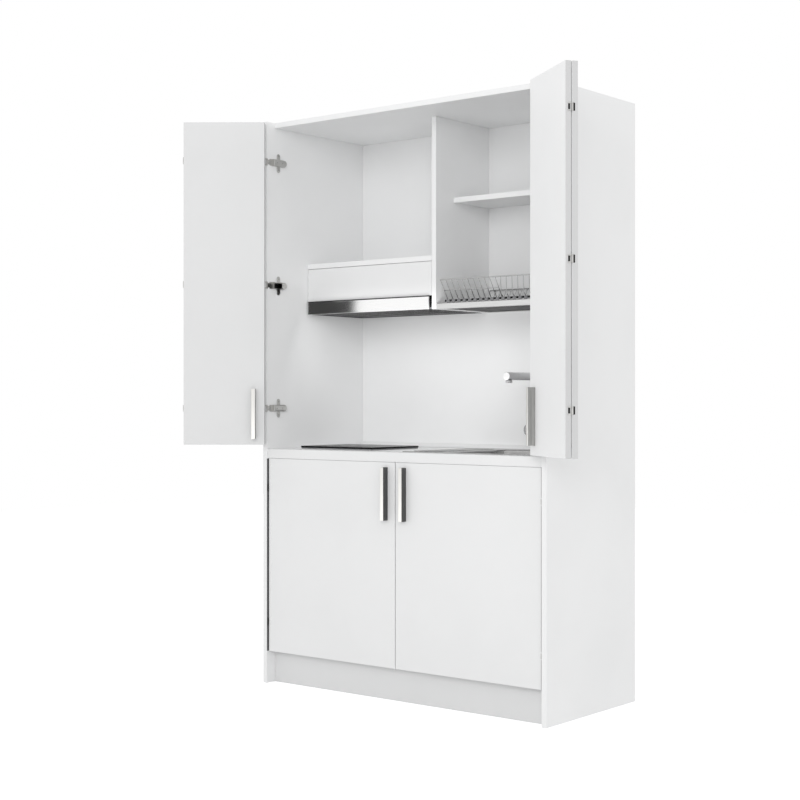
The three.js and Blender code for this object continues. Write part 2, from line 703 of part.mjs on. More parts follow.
function wireLeg(x, y0, z0, y1, z1) {
  const path = new THREE.LineCurve3(new THREE.Vector3(x, y0, z0), new THREE.Vector3(x, y1, z1));
  return new THREE.ExtrudeGeometry(wireSection, { steps: 1, bevelEnabled: false, extrudePath: path });
}

const rackWireRoute = [
  [rackFront, rackBase],
  [rackFront, rackTop],
  [rackFront + rackLeanRun, rackFloor],
  [rackBack - rackRearRun, rackFloor],
  [rackBack, rackTop],
  [rackBack, rackBase],
];
const rackBars = [];
for (const [y, z] of rackWireRoute) {
  // the two bottom rails reach out to the frame, which carries them
  const x0 = z === rackBase ? rightBay[0] + 1 : rackLeft;
  const x1 = z === rackBase ? rightBay[1] - 1 : rackRight;
  rackBars.push(block(x0, x1, y - rackRail / 2, y + rackRail / 2, z - rackRail / 2, z + rackRail / 2));
}
for (const x of [rackLeft, rackRight - rackRail]) {
  rackBars.push(block(x, x + rackRail, rackFront, rackBack, rackBase - rackRail / 2,
    rackBase + rackRail / 2));
}
const rackLegs = [];
for (let i = 0; i < rackWires; i += 1) {
  const x = wireStart + i * wirePitch;
  for (let leg = 1; leg < rackWireRoute.length; leg += 1) {
    rackLegs.push(wireLeg(x, ...rackWireRoute[leg - 1], ...rackWireRoute[leg]));
  }
}
add('dish_rack', join(...rackBars, ...rackLegs), colours.steel);

// ---- side hinges: the half that is screwed to a side panel ----
// local frame: the axis of the hinge is the origin, the side panel is towards -X and the inside of the
// unit towards +Y; the right-hand hinges are the same piece turned over
function hingeArm(wallFromPivot) {
  const strapInner = wallFromPivot + seat;
  const endRadius = armWidth / 2;
  const arm = new THREE.Shape();
  arm.moveTo(armStart - pivotRecess, -armWidth / 2);
  arm.lineTo(armEnd - pivotRecess - endRadius, -armWidth / 2);
  arm.absarc(armEnd - pivotRecess - endRadius, 0, endRadius, -Math.PI / 2, Math.PI / 2);
  arm.lineTo(armStart - pivotRecess, armWidth / 2);
  const armBody = new THREE.ExtrudeGeometry(arm, { depth: armRise, bevelEnabled: false, curveSegments: 5 });
  // drawn in the YZ plane, raised along X
  armBody.applyMatrix4(new THREE.Matrix4().makeBasis(
    new THREE.Vector3(0, 1, 0), new THREE.Vector3(0, 0, 1), new THREE.Vector3(1, 0, 0)));
  armBody.translate(strapInner, 0, 0);
  const plateY = plateCentre - pivotRecess;
  return join(
    barZ(knuckleRadius, 0, 0, -knuckleHalf, knuckleHalf, 12),
    block(strapInner, strapInner + strapThickness, 0, armStart - pivotRecess + weld,
      -knuckleHalf, knuckleHalf),
    armBody,
    block(strapInner, strapInner + plateThickness, plateY - plateWidth / 2, plateY + plateWidth / 2,
      -plateLength / 2, plateLength / 2),
  );
}

const lowerArmGeometry = hingeArm(-pivotToEdge);
const upperArmGeometry = hingeArm(upperPivotInset);

// a piece drawn for the left hand, as it is for the given side
function handed(geometry, side) {
  return side > 0 ? toGeometry(toSolid(geometry).mirror([1, 0, 0])) : geometry;
}

function addArms(prefix, geometry, x, heights) {
  heights.forEach((z, i) => {
    add(`${prefix}_${i + 1}`, handed(geometry, Math.sign(x)), colours.steel).position.set(x, pivotY, z);
  });
}

addArms('hinge_arm_upper_left', upperArmGeometry, -upperPivotX, upperHinges);
addArms('hinge_arm_upper_right', upperArmGeometry, upperPivotX, upperHinges);
addArms('hinge_arm_lower_left', lowerArmGeometry, -pivotX, lowerHinges);
addArms('hinge_arm_lower_right', lowerArmGeometry, pivotX, lowerHinges);

// ---- doors ----
// drawn for the left hand: the hinge axis is the origin, the door runs along +X, its face towards -Y
function doorLugs(heights, edge, bridge) {
  const lugs = [];
  for (const z of heights) {
    for (const [z0, z1] of [
      [z + knuckleHalf + seat, z + knuckleHalf + seat + lugHeight],
      [z - knuckleHalf - seat - lugHeight, z - knuckleHalf - seat],
    ]) {
      lugs.push(barZ(knuckleRadius, 0, 0, z0, z1, 12));
      for (const [x0, x1, y0, y1] of bridge) {
        lugs.push(block(x0, x1 + edge + weld, y0, y1, z0, z1));
      }
    }
  }
  return lugs;
}

function hungBoard(boardWidth, z0, z1, heights, edge, bridge) {
  const slab = block(edge, edge + boardWidth, faceFromPivot, faceFromPivot + board, z0, z1);
  return join(slab, ...doorLugs(heights, edge, bridge));
}

// the second leaf of a pair, drawn flat: the fold axis is the origin
const foldFromFace = board + foldedGap / 2;

function innerLeaf(bottom) {
  const slab = block(foldGap / 2, foldGap / 2 + leafWidth, -foldFromFace, -foldedGap / 2, bottom, leafTop);
  const lugs = [];
  for (const z of upperHinges) {
    for (const [z0, z1] of [
      [z + foldHalf + seat, z + foldHalf + seat + lugHeight],
      [z - foldHalf - seat - lugHeight, z - foldHalf - seat],
    ]) {
      lugs.push(barZ(foldBarrelRadius, 0, 0, z0, z1, 12));
      lugs.push(block(0, foldGap / 2 + weld, -foldPlateDepth, foldBarrelRadius / 2, z0, z1));
    }
  }
  return join(slab, ...lugs);
}

// the half of a fold hinge that is fixed to the first leaf, with its barrel; the fold axis is the origin
function foldHinge() {
  const plateX = -foldGap / 2 + seat;
  const plateHalf = foldHalf + seat + lugHeight;
  return join(
    barZ(foldBarrelRadius, 0, 0, -foldHalf, foldHalf, 12),
    block(plateX, 0, -foldBarrelRadius, 0, -foldHalf, foldHalf),
    block(plateX, plateX + foldPlateThickness, -foldPlateDepth, -foldedGap / 2 - seat, -plateHalf, plateHalf),
  );
}

// a grip bar: a bevelled bar with a finger groove along each side; its foot is at y = 0
function handleBar() {
  const half = handleWidth / 2;
  const grooveMiddle = -handleDepth * 0.42;
  const section = new THREE.Shape();
  section.moveTo(-half, 0);
  section.lineTo(half, 0);
  section.lineTo(half, grooveMiddle + handleGrooveWidth / 2);
  section.lineTo(half - handleGroove, grooveMiddle);
  section.lineTo(half, grooveMiddle - handleGrooveWidth / 2);
  section.lineTo(half, -handleDepth + handleBevel);
  section.lineTo(half - handleBevel, -handleDepth);
  section.lineTo(-half + handleBevel, -handleDepth);
  section.lineTo(-half, -handleDepth + handleBevel);
  section.lineTo(-half, grooveMiddle - handleGrooveWidth / 2);
  section.lineTo(-half + handleGroove, grooveMiddle);
  section.lineTo(-half, grooveMiddle + handleGrooveWidth / 2);
  return new THREE.ExtrudeGeometry(section, { depth: handleLength, bevelEnabled: false });
}

// how the lugs reach the board: [from x, past the edge, from y, to y]
const lowerBridge = [
  [-knuckleRadius, knuckleRadius - pivotToEdge - weld, 0, lugReach],
  [0, 0, faceFromPivot + weld, lugReach],
];
const upperBridge = [
  [0, 0, seat, knuckleRadius],
  [knuckleRadius, 0, seat, lugReach],
];
const foldHingeGeometry = foldHinge();
const handleGeometry = toGeometry(toSolid(handleBar()));
const lowerDoorGeometry = hungBoard(lowerDoorWidth, lowerDoorBottom, lowerDoorTop, lowerHinges,
  pivotToEdge, lowerBridge);

for (const [hand, side, open, bottom] of [
  ['left', -1, leftOpenAngle, leafBottom],
  ['right', 1, rightOpenAngle, leafBottom - rightLeafDrop],
]) {
  const outerLeafGeometry = hungBoard(leafWidth, bottom, leafTop, upperHinges, upperPivotToEdge, upperBridge);
  const swing = new THREE.Group();
  swing.position.set(side * upperPivotX, pivotY, 0);
  swing.rotation.z = side * THREE.MathUtils.degToRad(open);
  unit.add(swing);
  add(`leaf_outer_${hand}`, handed(outerLeafGeometry, side), colours.board, swing);

  const fold = new THREE.Group();
  const foldX = upperPivotToEdge + leafWidth + foldGap / 2;
  fold.position.set(-side * foldX, faceFromPivot + foldFromFace, 0);
  swing.add(fold);
  upperHinges.forEach((z, i) => {
    add(`fold_hinge_${hand}_${i + 1}`, handed(foldHingeGeometry, side), colours.steel, fold).position.z = z;
  });

  const folded = new THREE.Group();
  folded.rotation.z = Math.PI;
  fold.add(folded);
  add(`leaf_inner_${hand}`, handed(innerLeaf(bottom), side), colours.board, folded);
  const gripX = foldGap / 2 + leafWidth - handleEdge;
  add(`handle_upper_${hand}`, handleGeometry, colours.steel, folded)
    .position.set(-side * gripX, -foldFromFace - seat, leafBottom + upperHandleInset);

  const door = new THREE.Group();
  door.position.set(side * pivotX, pivotY, 0);
  unit.add(door);
  add(`door_${hand}`, handed(lowerDoorGeometry, side), colours.board, door);
  const lowerGripX = pivotToEdge + lowerDoorWidth - handleEdge;
  add(`handle_lower_${hand}`, handleGeometry, colours.steel, door)
    .position.set(-side * lowerGripX, faceFromPivot - seat, lowerDoorTop - lowerHandleInset - handleLength);
}

export default unit;
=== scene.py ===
# %% [markdown]
# A white pantry kitchenette: a tall cabinet with folding doors over a worktop with a sink, a tap and
# a hob, a slide-out hood and a dish rack above, and two hinged doors below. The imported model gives
# the true sizes and everything that moves. This lesson dresses it: each piece is a surface worked
# out with numpy, and each finish is a small network of shader nodes.

import math

import bpy
import numpy as np
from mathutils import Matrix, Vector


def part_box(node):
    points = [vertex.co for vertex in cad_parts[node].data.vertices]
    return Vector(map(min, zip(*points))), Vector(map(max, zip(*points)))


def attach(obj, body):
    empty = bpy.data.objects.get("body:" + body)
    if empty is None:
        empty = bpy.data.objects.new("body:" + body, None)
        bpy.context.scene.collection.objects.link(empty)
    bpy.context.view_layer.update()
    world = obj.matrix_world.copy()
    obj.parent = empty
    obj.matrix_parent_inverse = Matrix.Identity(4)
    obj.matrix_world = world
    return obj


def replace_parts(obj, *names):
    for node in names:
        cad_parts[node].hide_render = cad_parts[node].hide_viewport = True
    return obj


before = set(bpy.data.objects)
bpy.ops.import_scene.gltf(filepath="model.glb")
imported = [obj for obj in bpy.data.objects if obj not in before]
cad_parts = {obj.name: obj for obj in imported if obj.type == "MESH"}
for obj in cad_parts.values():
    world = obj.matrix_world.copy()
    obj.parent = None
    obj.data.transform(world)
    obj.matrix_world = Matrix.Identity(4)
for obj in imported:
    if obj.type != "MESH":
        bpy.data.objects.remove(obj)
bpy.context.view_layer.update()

# %% [markdown]
# The camera stands to the right of the unit, at the height of a person's chest, and looks level, so
# upright edges stay upright in the picture. Its place was worked out from the straight edges of the
# cabinet, with the width as the known length. The small shift puts the horizon where it belongs.

# %% Camera
eye = bpy.data.cameras.new("camera")
eye.sensor_width = 36.0
eye.lens = 68.229
eye.shift_y = -0.002
eye.clip_end = 60.0
camera = bpy.data.objects.new("camera", eye)
camera.location = (3.1635, -4.1502, 1.0089)
camera.rotation_euler = (math.radians(90.0), 0.0, math.radians(38.945))
bpy.context.scene.collection.objects.link(camera)
bpy.context.scene.camera = camera
bpy.context.scene.view_settings.view_transform = "Standard"
print("camera at", tuple(camera.location), "lens", eye.lens)

# %% [markdown]
# Shader maths reads best as plain expressions. This class wraps a socket, so that a sum or a product
# of wrapped values adds the Math nodes for it. `node` makes any other node: its settings are set
# first and then its sockets. Colours are mixed by `blend_colours`, because a Math node turns a
# colour grey.


# %% Shader expressions
class Wire:
    """One output socket of a material's nodes, with arithmetic."""

    def __init__(self, tree, socket):
        self.tree = tree
        self.socket = socket

    def math(self, operation, *values):
        """A Math node on these values, wires or numbers."""
        return node(self.tree, "ShaderNodeMath", {"operation": operation}, dict(enumerate(values)))

    def __add__(self, other):
        return self.math("ADD", self, other)

    def __sub__(self, other):
        return self.math("SUBTRACT", self, other)

    def __rsub__(self, other):
        return self.math("SUBTRACT", other, self)

    def __mul__(self, other):
        return self.math("MULTIPLY", self, other)

    __radd__ = __add__
    __rmul__ = __mul__


def plug(tree, socket, value):
    """Links a Wire to a socket, or sets a constant on it."""
    if isinstance(value, Wire):
        tree.links.new(value.socket, socket)
    elif isinstance(value, tuple) and len(value) == 3 and socket.type == "RGBA":
        socket.default_value = (*value, 1.0)
    else:
        socket.default_value = value


def node(tree, kind, settings=None, sockets=None, output=0):
    """Adds a node, sets its settings, then its sockets, and returns one output as a Wire."""
    made = tree.nodes.new(kind)
    for key, value in (settings or {}).items():
        setattr(made, key, value)
    for key, value in (sockets or {}).items():
        plug(tree, made.inputs[key], value)
    return Wire(tree, made.outputs[output])


def blend_colours(tree, share, first, second):
    """First colour where share is 0 and second where it is 1."""
    settings = {"data_type": "RGBA"}
    return node(tree, "ShaderNodeMix", settings, {0: share, 6: first, 7: second}, output=2)


print("shader helpers ready")

# %% [markdown]
# Patterns are laid out in object coordinates, in metres, so they stay at their real size on every
# piece. `noise` is a cloudy pattern; squeezed along one axis it becomes the streaks that a brush
# leaves on steel.


# %% Patterns and the finish helper
def place(tree, scale=(1.0, 1.0, 1.0)):
    """Object coordinates, stretched."""
    here = node(tree, "ShaderNodeTexCoord", output=3)
    return node(tree, "ShaderNodeMapping", None, {"Vector": here, "Scale": scale})


def noise(tree, per_metre, detail=3.0, stretch=(1.0, 1.0, 1.0)):
    """Cloudy pattern between 0 and 1 with about per_metre clouds to the metre."""
    sockets = {"Vector": place(tree, stretch), "Scale": per_metre, "Detail": detail}
    return node(tree, "ShaderNodeTexNoise", None, sockets)


def smooth_step(tree, value, low, high):
    """0 below low and 1 above high, with a smooth change between them."""
    sockets = {"Value": value, "From Min": low, "From Max": high, "To Min": 0.0, "To Max": 1.0}
    return node(tree, "ShaderNodeMapRange", {"interpolation_type": "SMOOTHSTEP"}, sockets)


def finish(name, paint):
    """A new material. paint(tree) gives the sockets of its Principled shader; Bump is special."""
    material = bpy.data.materials.new(name)
    material.use_nodes = True
    tree = material.node_tree
    tree.nodes.clear()
    shader = tree.nodes.new("ShaderNodeBsdfPrincipled")
    end = tree.nodes.new("ShaderNodeOutputMaterial")
    tree.links.new(shader.outputs[0], end.inputs[0])
    sockets = paint(tree)
    bump = sockets.pop("Bump", None)
    for key, value in sockets.items():
        plug(tree, shader.inputs[key], value)
    if bump:
        height, depth = bump
        made = node(tree, "ShaderNodeBump", None, {"Height": height, "Distance": depth, "Strength": 1.0})
        tree.links.new(made.socket, shader.inputs["Normal"])
    return material


# %% [markdown]
# Every board of the carcass and the doors is particle board with a smooth white laminate. Under a lamp such
# a laminate shows a very fine pearl texture and faint clouds in its gloss, and it picks up a little dust.
# All of this is weak: the boards should read as clean white. The edge band is a strip of plastic of nearly
# the same white, a little smoother. The edge band of the leaves is greyer: painted shade, for the shade in
# the gap where two leaves of a pair meet. `level` is the share of the light that a board gives back. The
# doors, the worktop and the plinth have their own level, each a touch greyer than the carcass. The left
# pair of leaves is greyer still: painted shade, which takes back the extra light that the big lamp throws
# on these leaves, as they face it squarely.


# %% White laminate and edge bands
def laminate(level, pearl=0.00004, gloss=0.42):
    """White board of that level, darker in faint clouds; pearl is the height of its fine grain."""

    def paint(tree):
        clouds = noise(tree, 3.0, 4.0)
        specks = noise(tree, 260.0, 2.0)
        light = (level * 0.994, level * 0.998, level)
        shade = tuple(part * 0.975 for part in light)
        return {
            "Base Color": blend_colours(tree, smooth_step(tree, clouds, 0.35, 0.75), light, shade),
            "Roughness": gloss - 0.05 + 0.1 * clouds + 0.04 * specks,
            "Bump": (noise(tree, 900.0, 1.0), pearl),
        }

    return paint


white_laminate = finish("white_laminate", laminate(0.93))
door_laminate = finish("door_laminate", laminate(0.86))
# Darker copy of the white laminate for the left pair of leaves: painted shade.
left_leaf_painted_shade = finish("left_leaf_painted_shade", laminate(0.78))
edge_band = finish("edge_band", laminate(0.91, pearl=0.00002, gloss=0.36))
# Greyer copy of the edge band for every edge of the leaves: painted shade of the fold gap.
leaf_edge_painted_shade = finish("leaf_edge_painted_shade", laminate(0.63, pearl=0.00003, gloss=0.5))
worktop_laminate = finish("worktop_laminate", laminate(0.86, pearl=0.00003, gloss=0.34))
plinth_laminate = finish("plinth_laminate", laminate(0.78, gloss=0.46))
back_laminate = finish("back_laminate", laminate(0.94, pearl=0.00003, gloss=0.4))
print("laminates ready")

# %% [markdown]
# Steel is brushed with a belt, which leaves long fine lines in one direction. The lines change both
# the height of the surface and how rough it is. Chrome is polished and plated: it is nearly smooth,
# with faint clouds where it was wiped. The hinges are pressed and nickel plated, and look duller.


# %% Metals
def brushed(colour, along, rough=0.3, depth=0.00002, contrast=0.16):
    """Steel with brush lines along one axis of the object."""
    squeeze = tuple(0.012 if axis == along else 1.0 for axis in "xyz")

    def paint(tree):
        lines = noise(tree, 1500.0, 3.0, stretch=squeeze)
        clouds = noise(tree, 14.0, 3.0)
        dark = tuple(part * (1.0 - contrast) for part in colour)
        return {
            "Base Color": blend_colours(tree, smooth_step(tree, lines, 0.3, 0.7), dark, colour),
            "Metallic": 1.0,
            "Roughness": rough - 0.06 + 0.1 * lines + 0.05 * clouds,
            "Bump": (lines, depth),
        }

    return paint


def plated(colour, rough=0.06, spots=0.03):
    """Polished plating with faint wiping marks."""

    def paint(tree):
        wiped = noise(tree, 45.0, 4.0)
        fine = noise(tree, 600.0, 2.0)
        dull = tuple(part * 0.93 for part in colour)
        return {
            "Base Color": blend_colours(tree, smooth_step(tree, wiped, 0.4, 0.8), colour, dull),
            "Metallic": 1.0,
            "Roughness": rough + spots * wiped + 0.01 * fine,
            "Bump": (wiped, 0.00001),
        }

    return paint


handle_steel = finish("handle_steel", brushed((0.88, 0.87, 0.84), "z", rough=0.36, contrast=0.08))
# Darker copies of the handle steel for the flanks, grey on the upper handles and nearly black on the lower:
# painted shade and painted reflection.
handle_flank_grey_painted_shade = finish("handle_flank_grey_painted_shade", brushed((0.4, 0.4, 0.39), "z", rough=0.4))
handle_flank_black_painted_shade = finish("handle_flank_black_painted_shade", brushed((0.13, 0.13, 0.13), "z", rough=0.4))
visor_steel = finish("visor_steel", brushed((0.98, 0.98, 0.975), "x", rough=0.15, contrast=0.04))
sink_steel = finish("sink_steel", brushed((0.48, 0.48, 0.475), "x", rough=0.24))
frame_steel = finish("frame_steel", brushed((0.76, 0.76, 0.755), "x", rough=0.3))
wire_steel = finish("wire_steel", plated((0.5, 0.5, 0.5), rough=0.26, spots=0.08))
tap_chrome = finish("tap_chrome", plated((0.6, 0.6, 0.61)))
# A much brighter copy of the chrome for the spout's end disc: painted highlight.
spout_disc_painted_highlight_chrome = finish("spout_disc_painted_highlight_chrome", plated((0.97, 0.97, 0.97), rough=0.12))
# A darker copy of the chrome for the lever's cap and rod: painted shade.
lever_painted_shade_chrome = finish("lever_painted_shade_chrome", plated((0.34, 0.34, 0.345), rough=0.1))
hinge_nickel = finish("hinge_nickel", plated((0.6, 0.595, 0.58), rough=0.34, spots=0.12))
print("metals ready")

# %% [markdown]
# The rest is plastic, glass and sheet metal. Moulded plastic has a fine grain and a few lighter
# scuffs. The hob is black glass ceramic: seen from low down it must stay black, so its mirror layer
# is kept weak. The grease filter is aluminium mesh: dark openings between light strands.


# %% Plastics, glass and sheet
def moulded(colour, rough=0.45, grain=0.00005, scuff=0.04, gleam=0.5):
    """Moulded plastic with grain and faint scuffs; gleam is the strength of its mirror layer."""

    def paint(tree):
        cloud = noise(tree, 30.0, 4.0)
        pale = tuple(min(1.0, part + scuff) for part in colour)
        return {
            "Base Color": blend_colours(tree, smooth_step(tree, cloud, 0.5, 0.85), colour, pale),
            "Roughness": rough - 0.08 + 0.16 * cloud,
            "Specular IOR Level": gleam,
            "Bump": (noise(tree, 1400.0, 2.0), grain),
        }

    return paint


def black_glass(tree):
    """Black with a little dust, and rougher where it was wiped."""
    dust = smooth_step(tree, noise(tree, 240.0, 3.0), 0.62, 0.8)
    wipes = noise(tree, 9.0, 4.0, stretch=(1.0, 3.0, 1.0))
    return {
        "Base Color": blend_colours(tree, dust, (0.008, 0.008, 0.009), (0.02, 0.02, 0.021)),
        "Roughness": 0.16 + 0.2 * wipes,
        "Specular IOR Level": 0.12,
        "Bump": (wipes, 0.00001),
    }


def mesh_sheet(tree):
    """Cells about 9 mm long and 4 mm wide: dark inside, with a light strand round each."""
    sockets = {"Vector": place(tree, (1.0, 2.2, 0.0)), "Scale": 110.0, "Randomness": 0.2}
    edge = node(tree, "ShaderNodeTexVoronoi", {"feature": "DISTANCE_TO_EDGE"}, sockets)
    inside = smooth_step(tree, edge, 0.05, 0.2)
    return {
        "Base Color": blend_colours(tree, inside, (0.16, 0.16, 0.16), (0.012, 0.012, 0.012)),
        "Metallic": 0.6 - 0.6 * inside,
        "Roughness": 0.42 + 0.3 * inside,
        "Bump": (1.0 - inside, 0.0008),
    }


hob_black = finish("hob_black", black_glass)
zone_print = finish("zone_print", moulded((0.2, 0.2, 0.205), rough=0.5, grain=0.00001, scuff=0.05))
# Near black for the drip tray: partly its own plastic, partly painted shade of its underside.
tray_plastic = finish("tray_plastic", moulded((0.02, 0.02, 0.021), rough=0.5, scuff=0.01, gleam=0.2))
foot_plastic = finish("foot_plastic", moulded((0.025, 0.025, 0.026)))
pipe_plastic = finish("pipe_plastic", moulded((0.78, 0.78, 0.76), rough=0.3, scuff=0.03))
fan_plastic = finish("fan_plastic", moulded((0.05, 0.05, 0.052), rough=0.5))
motor_paint = finish("motor_paint", moulded((0.08, 0.082, 0.085), rough=0.38, grain=0.00008))
hood_paint = finish("hood_paint", moulded((0.022, 0.022, 0.023), rough=0.6, grain=0.00006, scuff=0.01,
                                          gleam=0.2))
pan_steel = finish("pan_steel", moulded((0.32, 0.32, 0.33), rough=0.5, grain=0.0001))
# Black for the pockets in the leaves, the crosses of the screws, the aerator's gauze and the left lower
# hinges' knuckles and lugs: painted shade.
painted_shade_black = finish("painted_shade_black", moulded((0.02, 0.02, 0.02), rough=0.7, scuff=0.01))
# Grey rubber for the rack's buffers, and for the strips beside the lower doors, where it is painted shade.
buffer_rubber_and_gap_shade = finish("buffer_rubber_and_gap_shade", moulded((0.13, 0.13, 0.135), rough=0.7, grain=0.0001, scuff=0.02))
filter_mesh = finish("filter_mesh", mesh_sheet)
print("plastics ready")

# %% [markdown]
# A new piece is a grid of points: rows along one parameter and columns along the other. The columns
# always join into rings. Either the first and last ring are closed by a flat face, as on a bar, or
# the last row joins the first, as on a tube with a bore. The sign of the enclosed volume tells
# whether the faces point outwards, and the faces are turned if they don't.

# %% Grid to mesh
MM = 0.001


def mesh_piece(name, parts, body, materials, marks=None, smooth=True):
    """A finished object from (points in mm, faces) parts, riding on a body."""
    points, faces = join_parts(parts)
    data = bpy.data.meshes.new(name)
    data.from_pydata((np.asarray(points, float) * MM).tolist(), [], [list(map(int, f)) for f in faces])
    for material in materials:
        data.materials.append(material)
    if marks is not None:
        data.polygons.foreach_set("material_index", np.asarray(marks, np.int32))
    data.polygons.foreach_set("use_smooth", np.full(len(faces), smooth))
    data.update()
    if smooth:
        data.set_sharp_from_angle(angle=math.radians(32.0))
    piece = bpy.data.objects.new(name, data)
    bpy.context.scene.collection.objects.link(piece)
    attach(piece, body)
    return piece


def ring_faces(rows, columns):
    """Quads between neighbouring rings of a rows x columns grid, then the two end faces."""
    row, column = np.meshgrid(np.arange(rows - 1), np.arange(columns), indexing="ij")
    after = (column + 1) % columns
    quads = np.stack([row * columns + column, row * columns + after,
                      (row + 1) * columns + after, (row + 1) * columns + column], -1).reshape(-1, 4)
    ends = [list(range(columns))[::-1], [(rows - 1) * columns + k for k in range(columns)]]
    return quads.tolist() + ends


def loop_faces(rows, columns):
    """Quads of a grid whose rows and columns both close on themselves."""
    row, column = np.meshgrid(np.arange(rows), np.arange(columns), indexing="ij")
    below, after = (row + 1) % rows, (column + 1) % columns
    return np.stack([row * columns + column, row * columns + after,
                     below * columns + after, below * columns + column], -1).reshape(-1, 4).tolist()


def volume(points, faces):
    """Six times the volume inside closed faces: the tetrahedra from the origin to each fan triangle."""
    total = 0.0
    for size in {len(face) for face in faces}:
        group = points[np.array([face for face in faces if len(face) == size])]
        for k in range(1, size - 1):
            total += float(np.sum(group[:, 0] * np.cross(group[:, k], group[:, k + 1])))
    return total


def outward(points, faces):
    """The same faces, turned round if they point inwards."""
    points = np.asarray(points, float)
    return faces if volume(points, faces) > 0 else [list(face)[::-1] for face in faces]


def tube_ring(grid, loop=False):
    """Points and outward faces of one grid, with flat ends or closed on itself."""
    rows, columns = grid.shape[:2]
    points = grid.reshape(-1, 3)
    return points, outward(points, (loop_faces if loop else ring_faces)(rows, columns))


def join_parts(parts):
    """Several (points, faces) parts as one."""
    points, faces, start = [], [], 0
    for part_points, part_faces in parts:
        points.append(part_points)
        faces += [[index + start for index in face] for face in part_faces]
        start += len(part_points)
    return np.concatenate(points), faces


def node_corners(name):
    """The low and high corner of a model piece's box, in mm."""
    low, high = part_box(name)
    return np.array(low) / MM, np.array(high) / MM


print("grid helpers ready")

# %% [markdown]
# Most pieces are one of four shapes. A slab is a rectangle carried through its thickness, with rings
# near both faces drawn in along a quarter circle, which gives the softened edge that catches the
# light. A basin is a rounded rectangle that shrinks or grows with height. A turned piece is a profile
# carried round an axis, and a swept bar is a circle carried along a path.


# %% Slabs, basins, turned and swept pieces
def rectangle(low, high, corner=0.0, steps=3):
    """Points round a rectangle with round corners: each corner is a quarter circle."""
    angles = np.linspace(0.0, np.pi / 2, steps + 1) if corner > 0 else np.array([0.0])
    corners = [(high[0], high[1]), (low[0], high[1]), (low[0], low[1]), (high[0], low[1])]
    ways_in = [(-1, -1), (1, -1), (1, 1), (-1, 1)]
    rows = []
    for turn, (x, y) in enumerate(corners):
        inward = np.array(ways_in[turn]) * corner
        angle = angles + turn * np.pi / 2
        rows.append(np.stack([x + inward[0] + corner * np.cos(angle),
                              y + inward[1] + corner * np.sin(angle)], -1))
    return np.concatenate(rows)


def soft_levels(low, high, edge, steps=3):
    """(draw, at) pairs: draw = edge (1 - sin t) at a depth of edge (1 - cos t) from either face."""
    turn = np.linspace(0.0, np.pi / 2, steps + 1)
    draw, deep = edge * (1 - np.sin(turn)), edge * (1 - np.cos(turn))
    return list(zip(np.append(draw, draw[::-1]), np.append(low + deep, high - deep[::-1])))


def drawn(outline, levels, axis):
    """Rings of an outline carried along an axis, shrunk so that its half width and height lose draw."""
    outline = np.asarray(outline, float)
    low, high = outline.min(0), outline.max(0)
    centre, half = (low + high) / 2, (high - low) / 2
    draw, at = np.array(levels, float).T
    flat = centre + (outline - centre)[None] * (1 - draw[:, None, None] / half)
    u, v = [a for a in range(3) if a != axis]
    grid = np.zeros((len(draw), len(outline), 3))
    grid[:, :, u], grid[:, :, v], grid[:, :, axis] = flat[:, :, 0], flat[:, :, 1], at[:, None]
    return grid


def slab(low, high, thin, edge=0.8, corner=0.0, steps=3):
    """A board from corner low to corner high, thin along one axis (0, 1 or 2)."""
    low, high = np.asarray(low, float), np.asarray(high, float)
    flat = [axis for axis in range(3) if axis != thin]
    outline = rectangle(low[flat], high[flat], corner, steps)
    return tube_ring(drawn(outline, soft_levels(low[thin], high[thin], edge, steps), thin))


def basin(low, high, corner, profile, steps=8):
    """A vessel: the rounded rectangle low..high, drawn in by d at height z for each (d, z)."""
    low, high = np.asarray(low[:2], float), np.asarray(high[:2], float)
    rings = []
    for d, z in profile:
        flat = rectangle(low + d, high - d, max(corner - d, 0.05), steps)
        rings.append(np.column_stack([flat, np.full(len(flat), z)]))
    return tube_ring(np.stack(rings))


def turned(profile, centre, axis=2, sides=48, loop=False, ribs=(0, 0.0)):
    """Each (radius, height) goes once round: u = r cos t, v = r sin t; ribs add depth cos(count t)."""
    profile = np.asarray(profile, float)
    turn = np.linspace(0.0, 2 * np.pi, sides, endpoint=False)
    outer = profile[:, :1] > 0.8 * profile[:, 0].max()
    radius = profile[:, :1] + outer * ribs[1] * np.cos(ribs[0] * turn)
    u, v = [a for a in range(3) if a != axis]
    grid = np.zeros((len(profile), sides, 3))
    grid[:, :, u] = centre[0] + radius * np.cos(turn)
    grid[:, :, v] = centre[1] + radius * np.sin(turn)
    grid[:, :, axis] = profile[:, 1:]
    return tube_ring(grid, loop)


def rod(radius, low, high, centre=(0.0, 0.0), axis=2, sides=24, round_off=0.0):
    """A round bar along an axis; the ends may be rounded off."""
    profile = [(radius, low), (radius, high)]
    if round_off:
        profile = [(radius - draw, at) for draw, at in soft_levels(low, high, round_off)]
    return turned(profile, centre, axis, sides)


def rounded(points, radius, steps=4):
    """A path with each inner corner c replaced by (1-t)^2 p + 2t(1-t) c + t^2 q.

    p and q lie on the two sides, radius away from the corner."""
    points = np.asarray(points, float)
    t = np.linspace(0.0, 1.0, steps + 1)[:, None]
    made = [points[:1]]
    for before, corner, after in zip(points[:-2], points[1:-1], points[2:]):
        p = corner + (before - corner) * radius / np.linalg.norm(before - corner)
        q = corner + (after - corner) * radius / np.linalg.norm(after - corner)
        made.append((1 - t) ** 2 * p + 2 * t * (1 - t) * corner + t ** 2 * q)
    return np.concatenate(made + [points[-1:]])


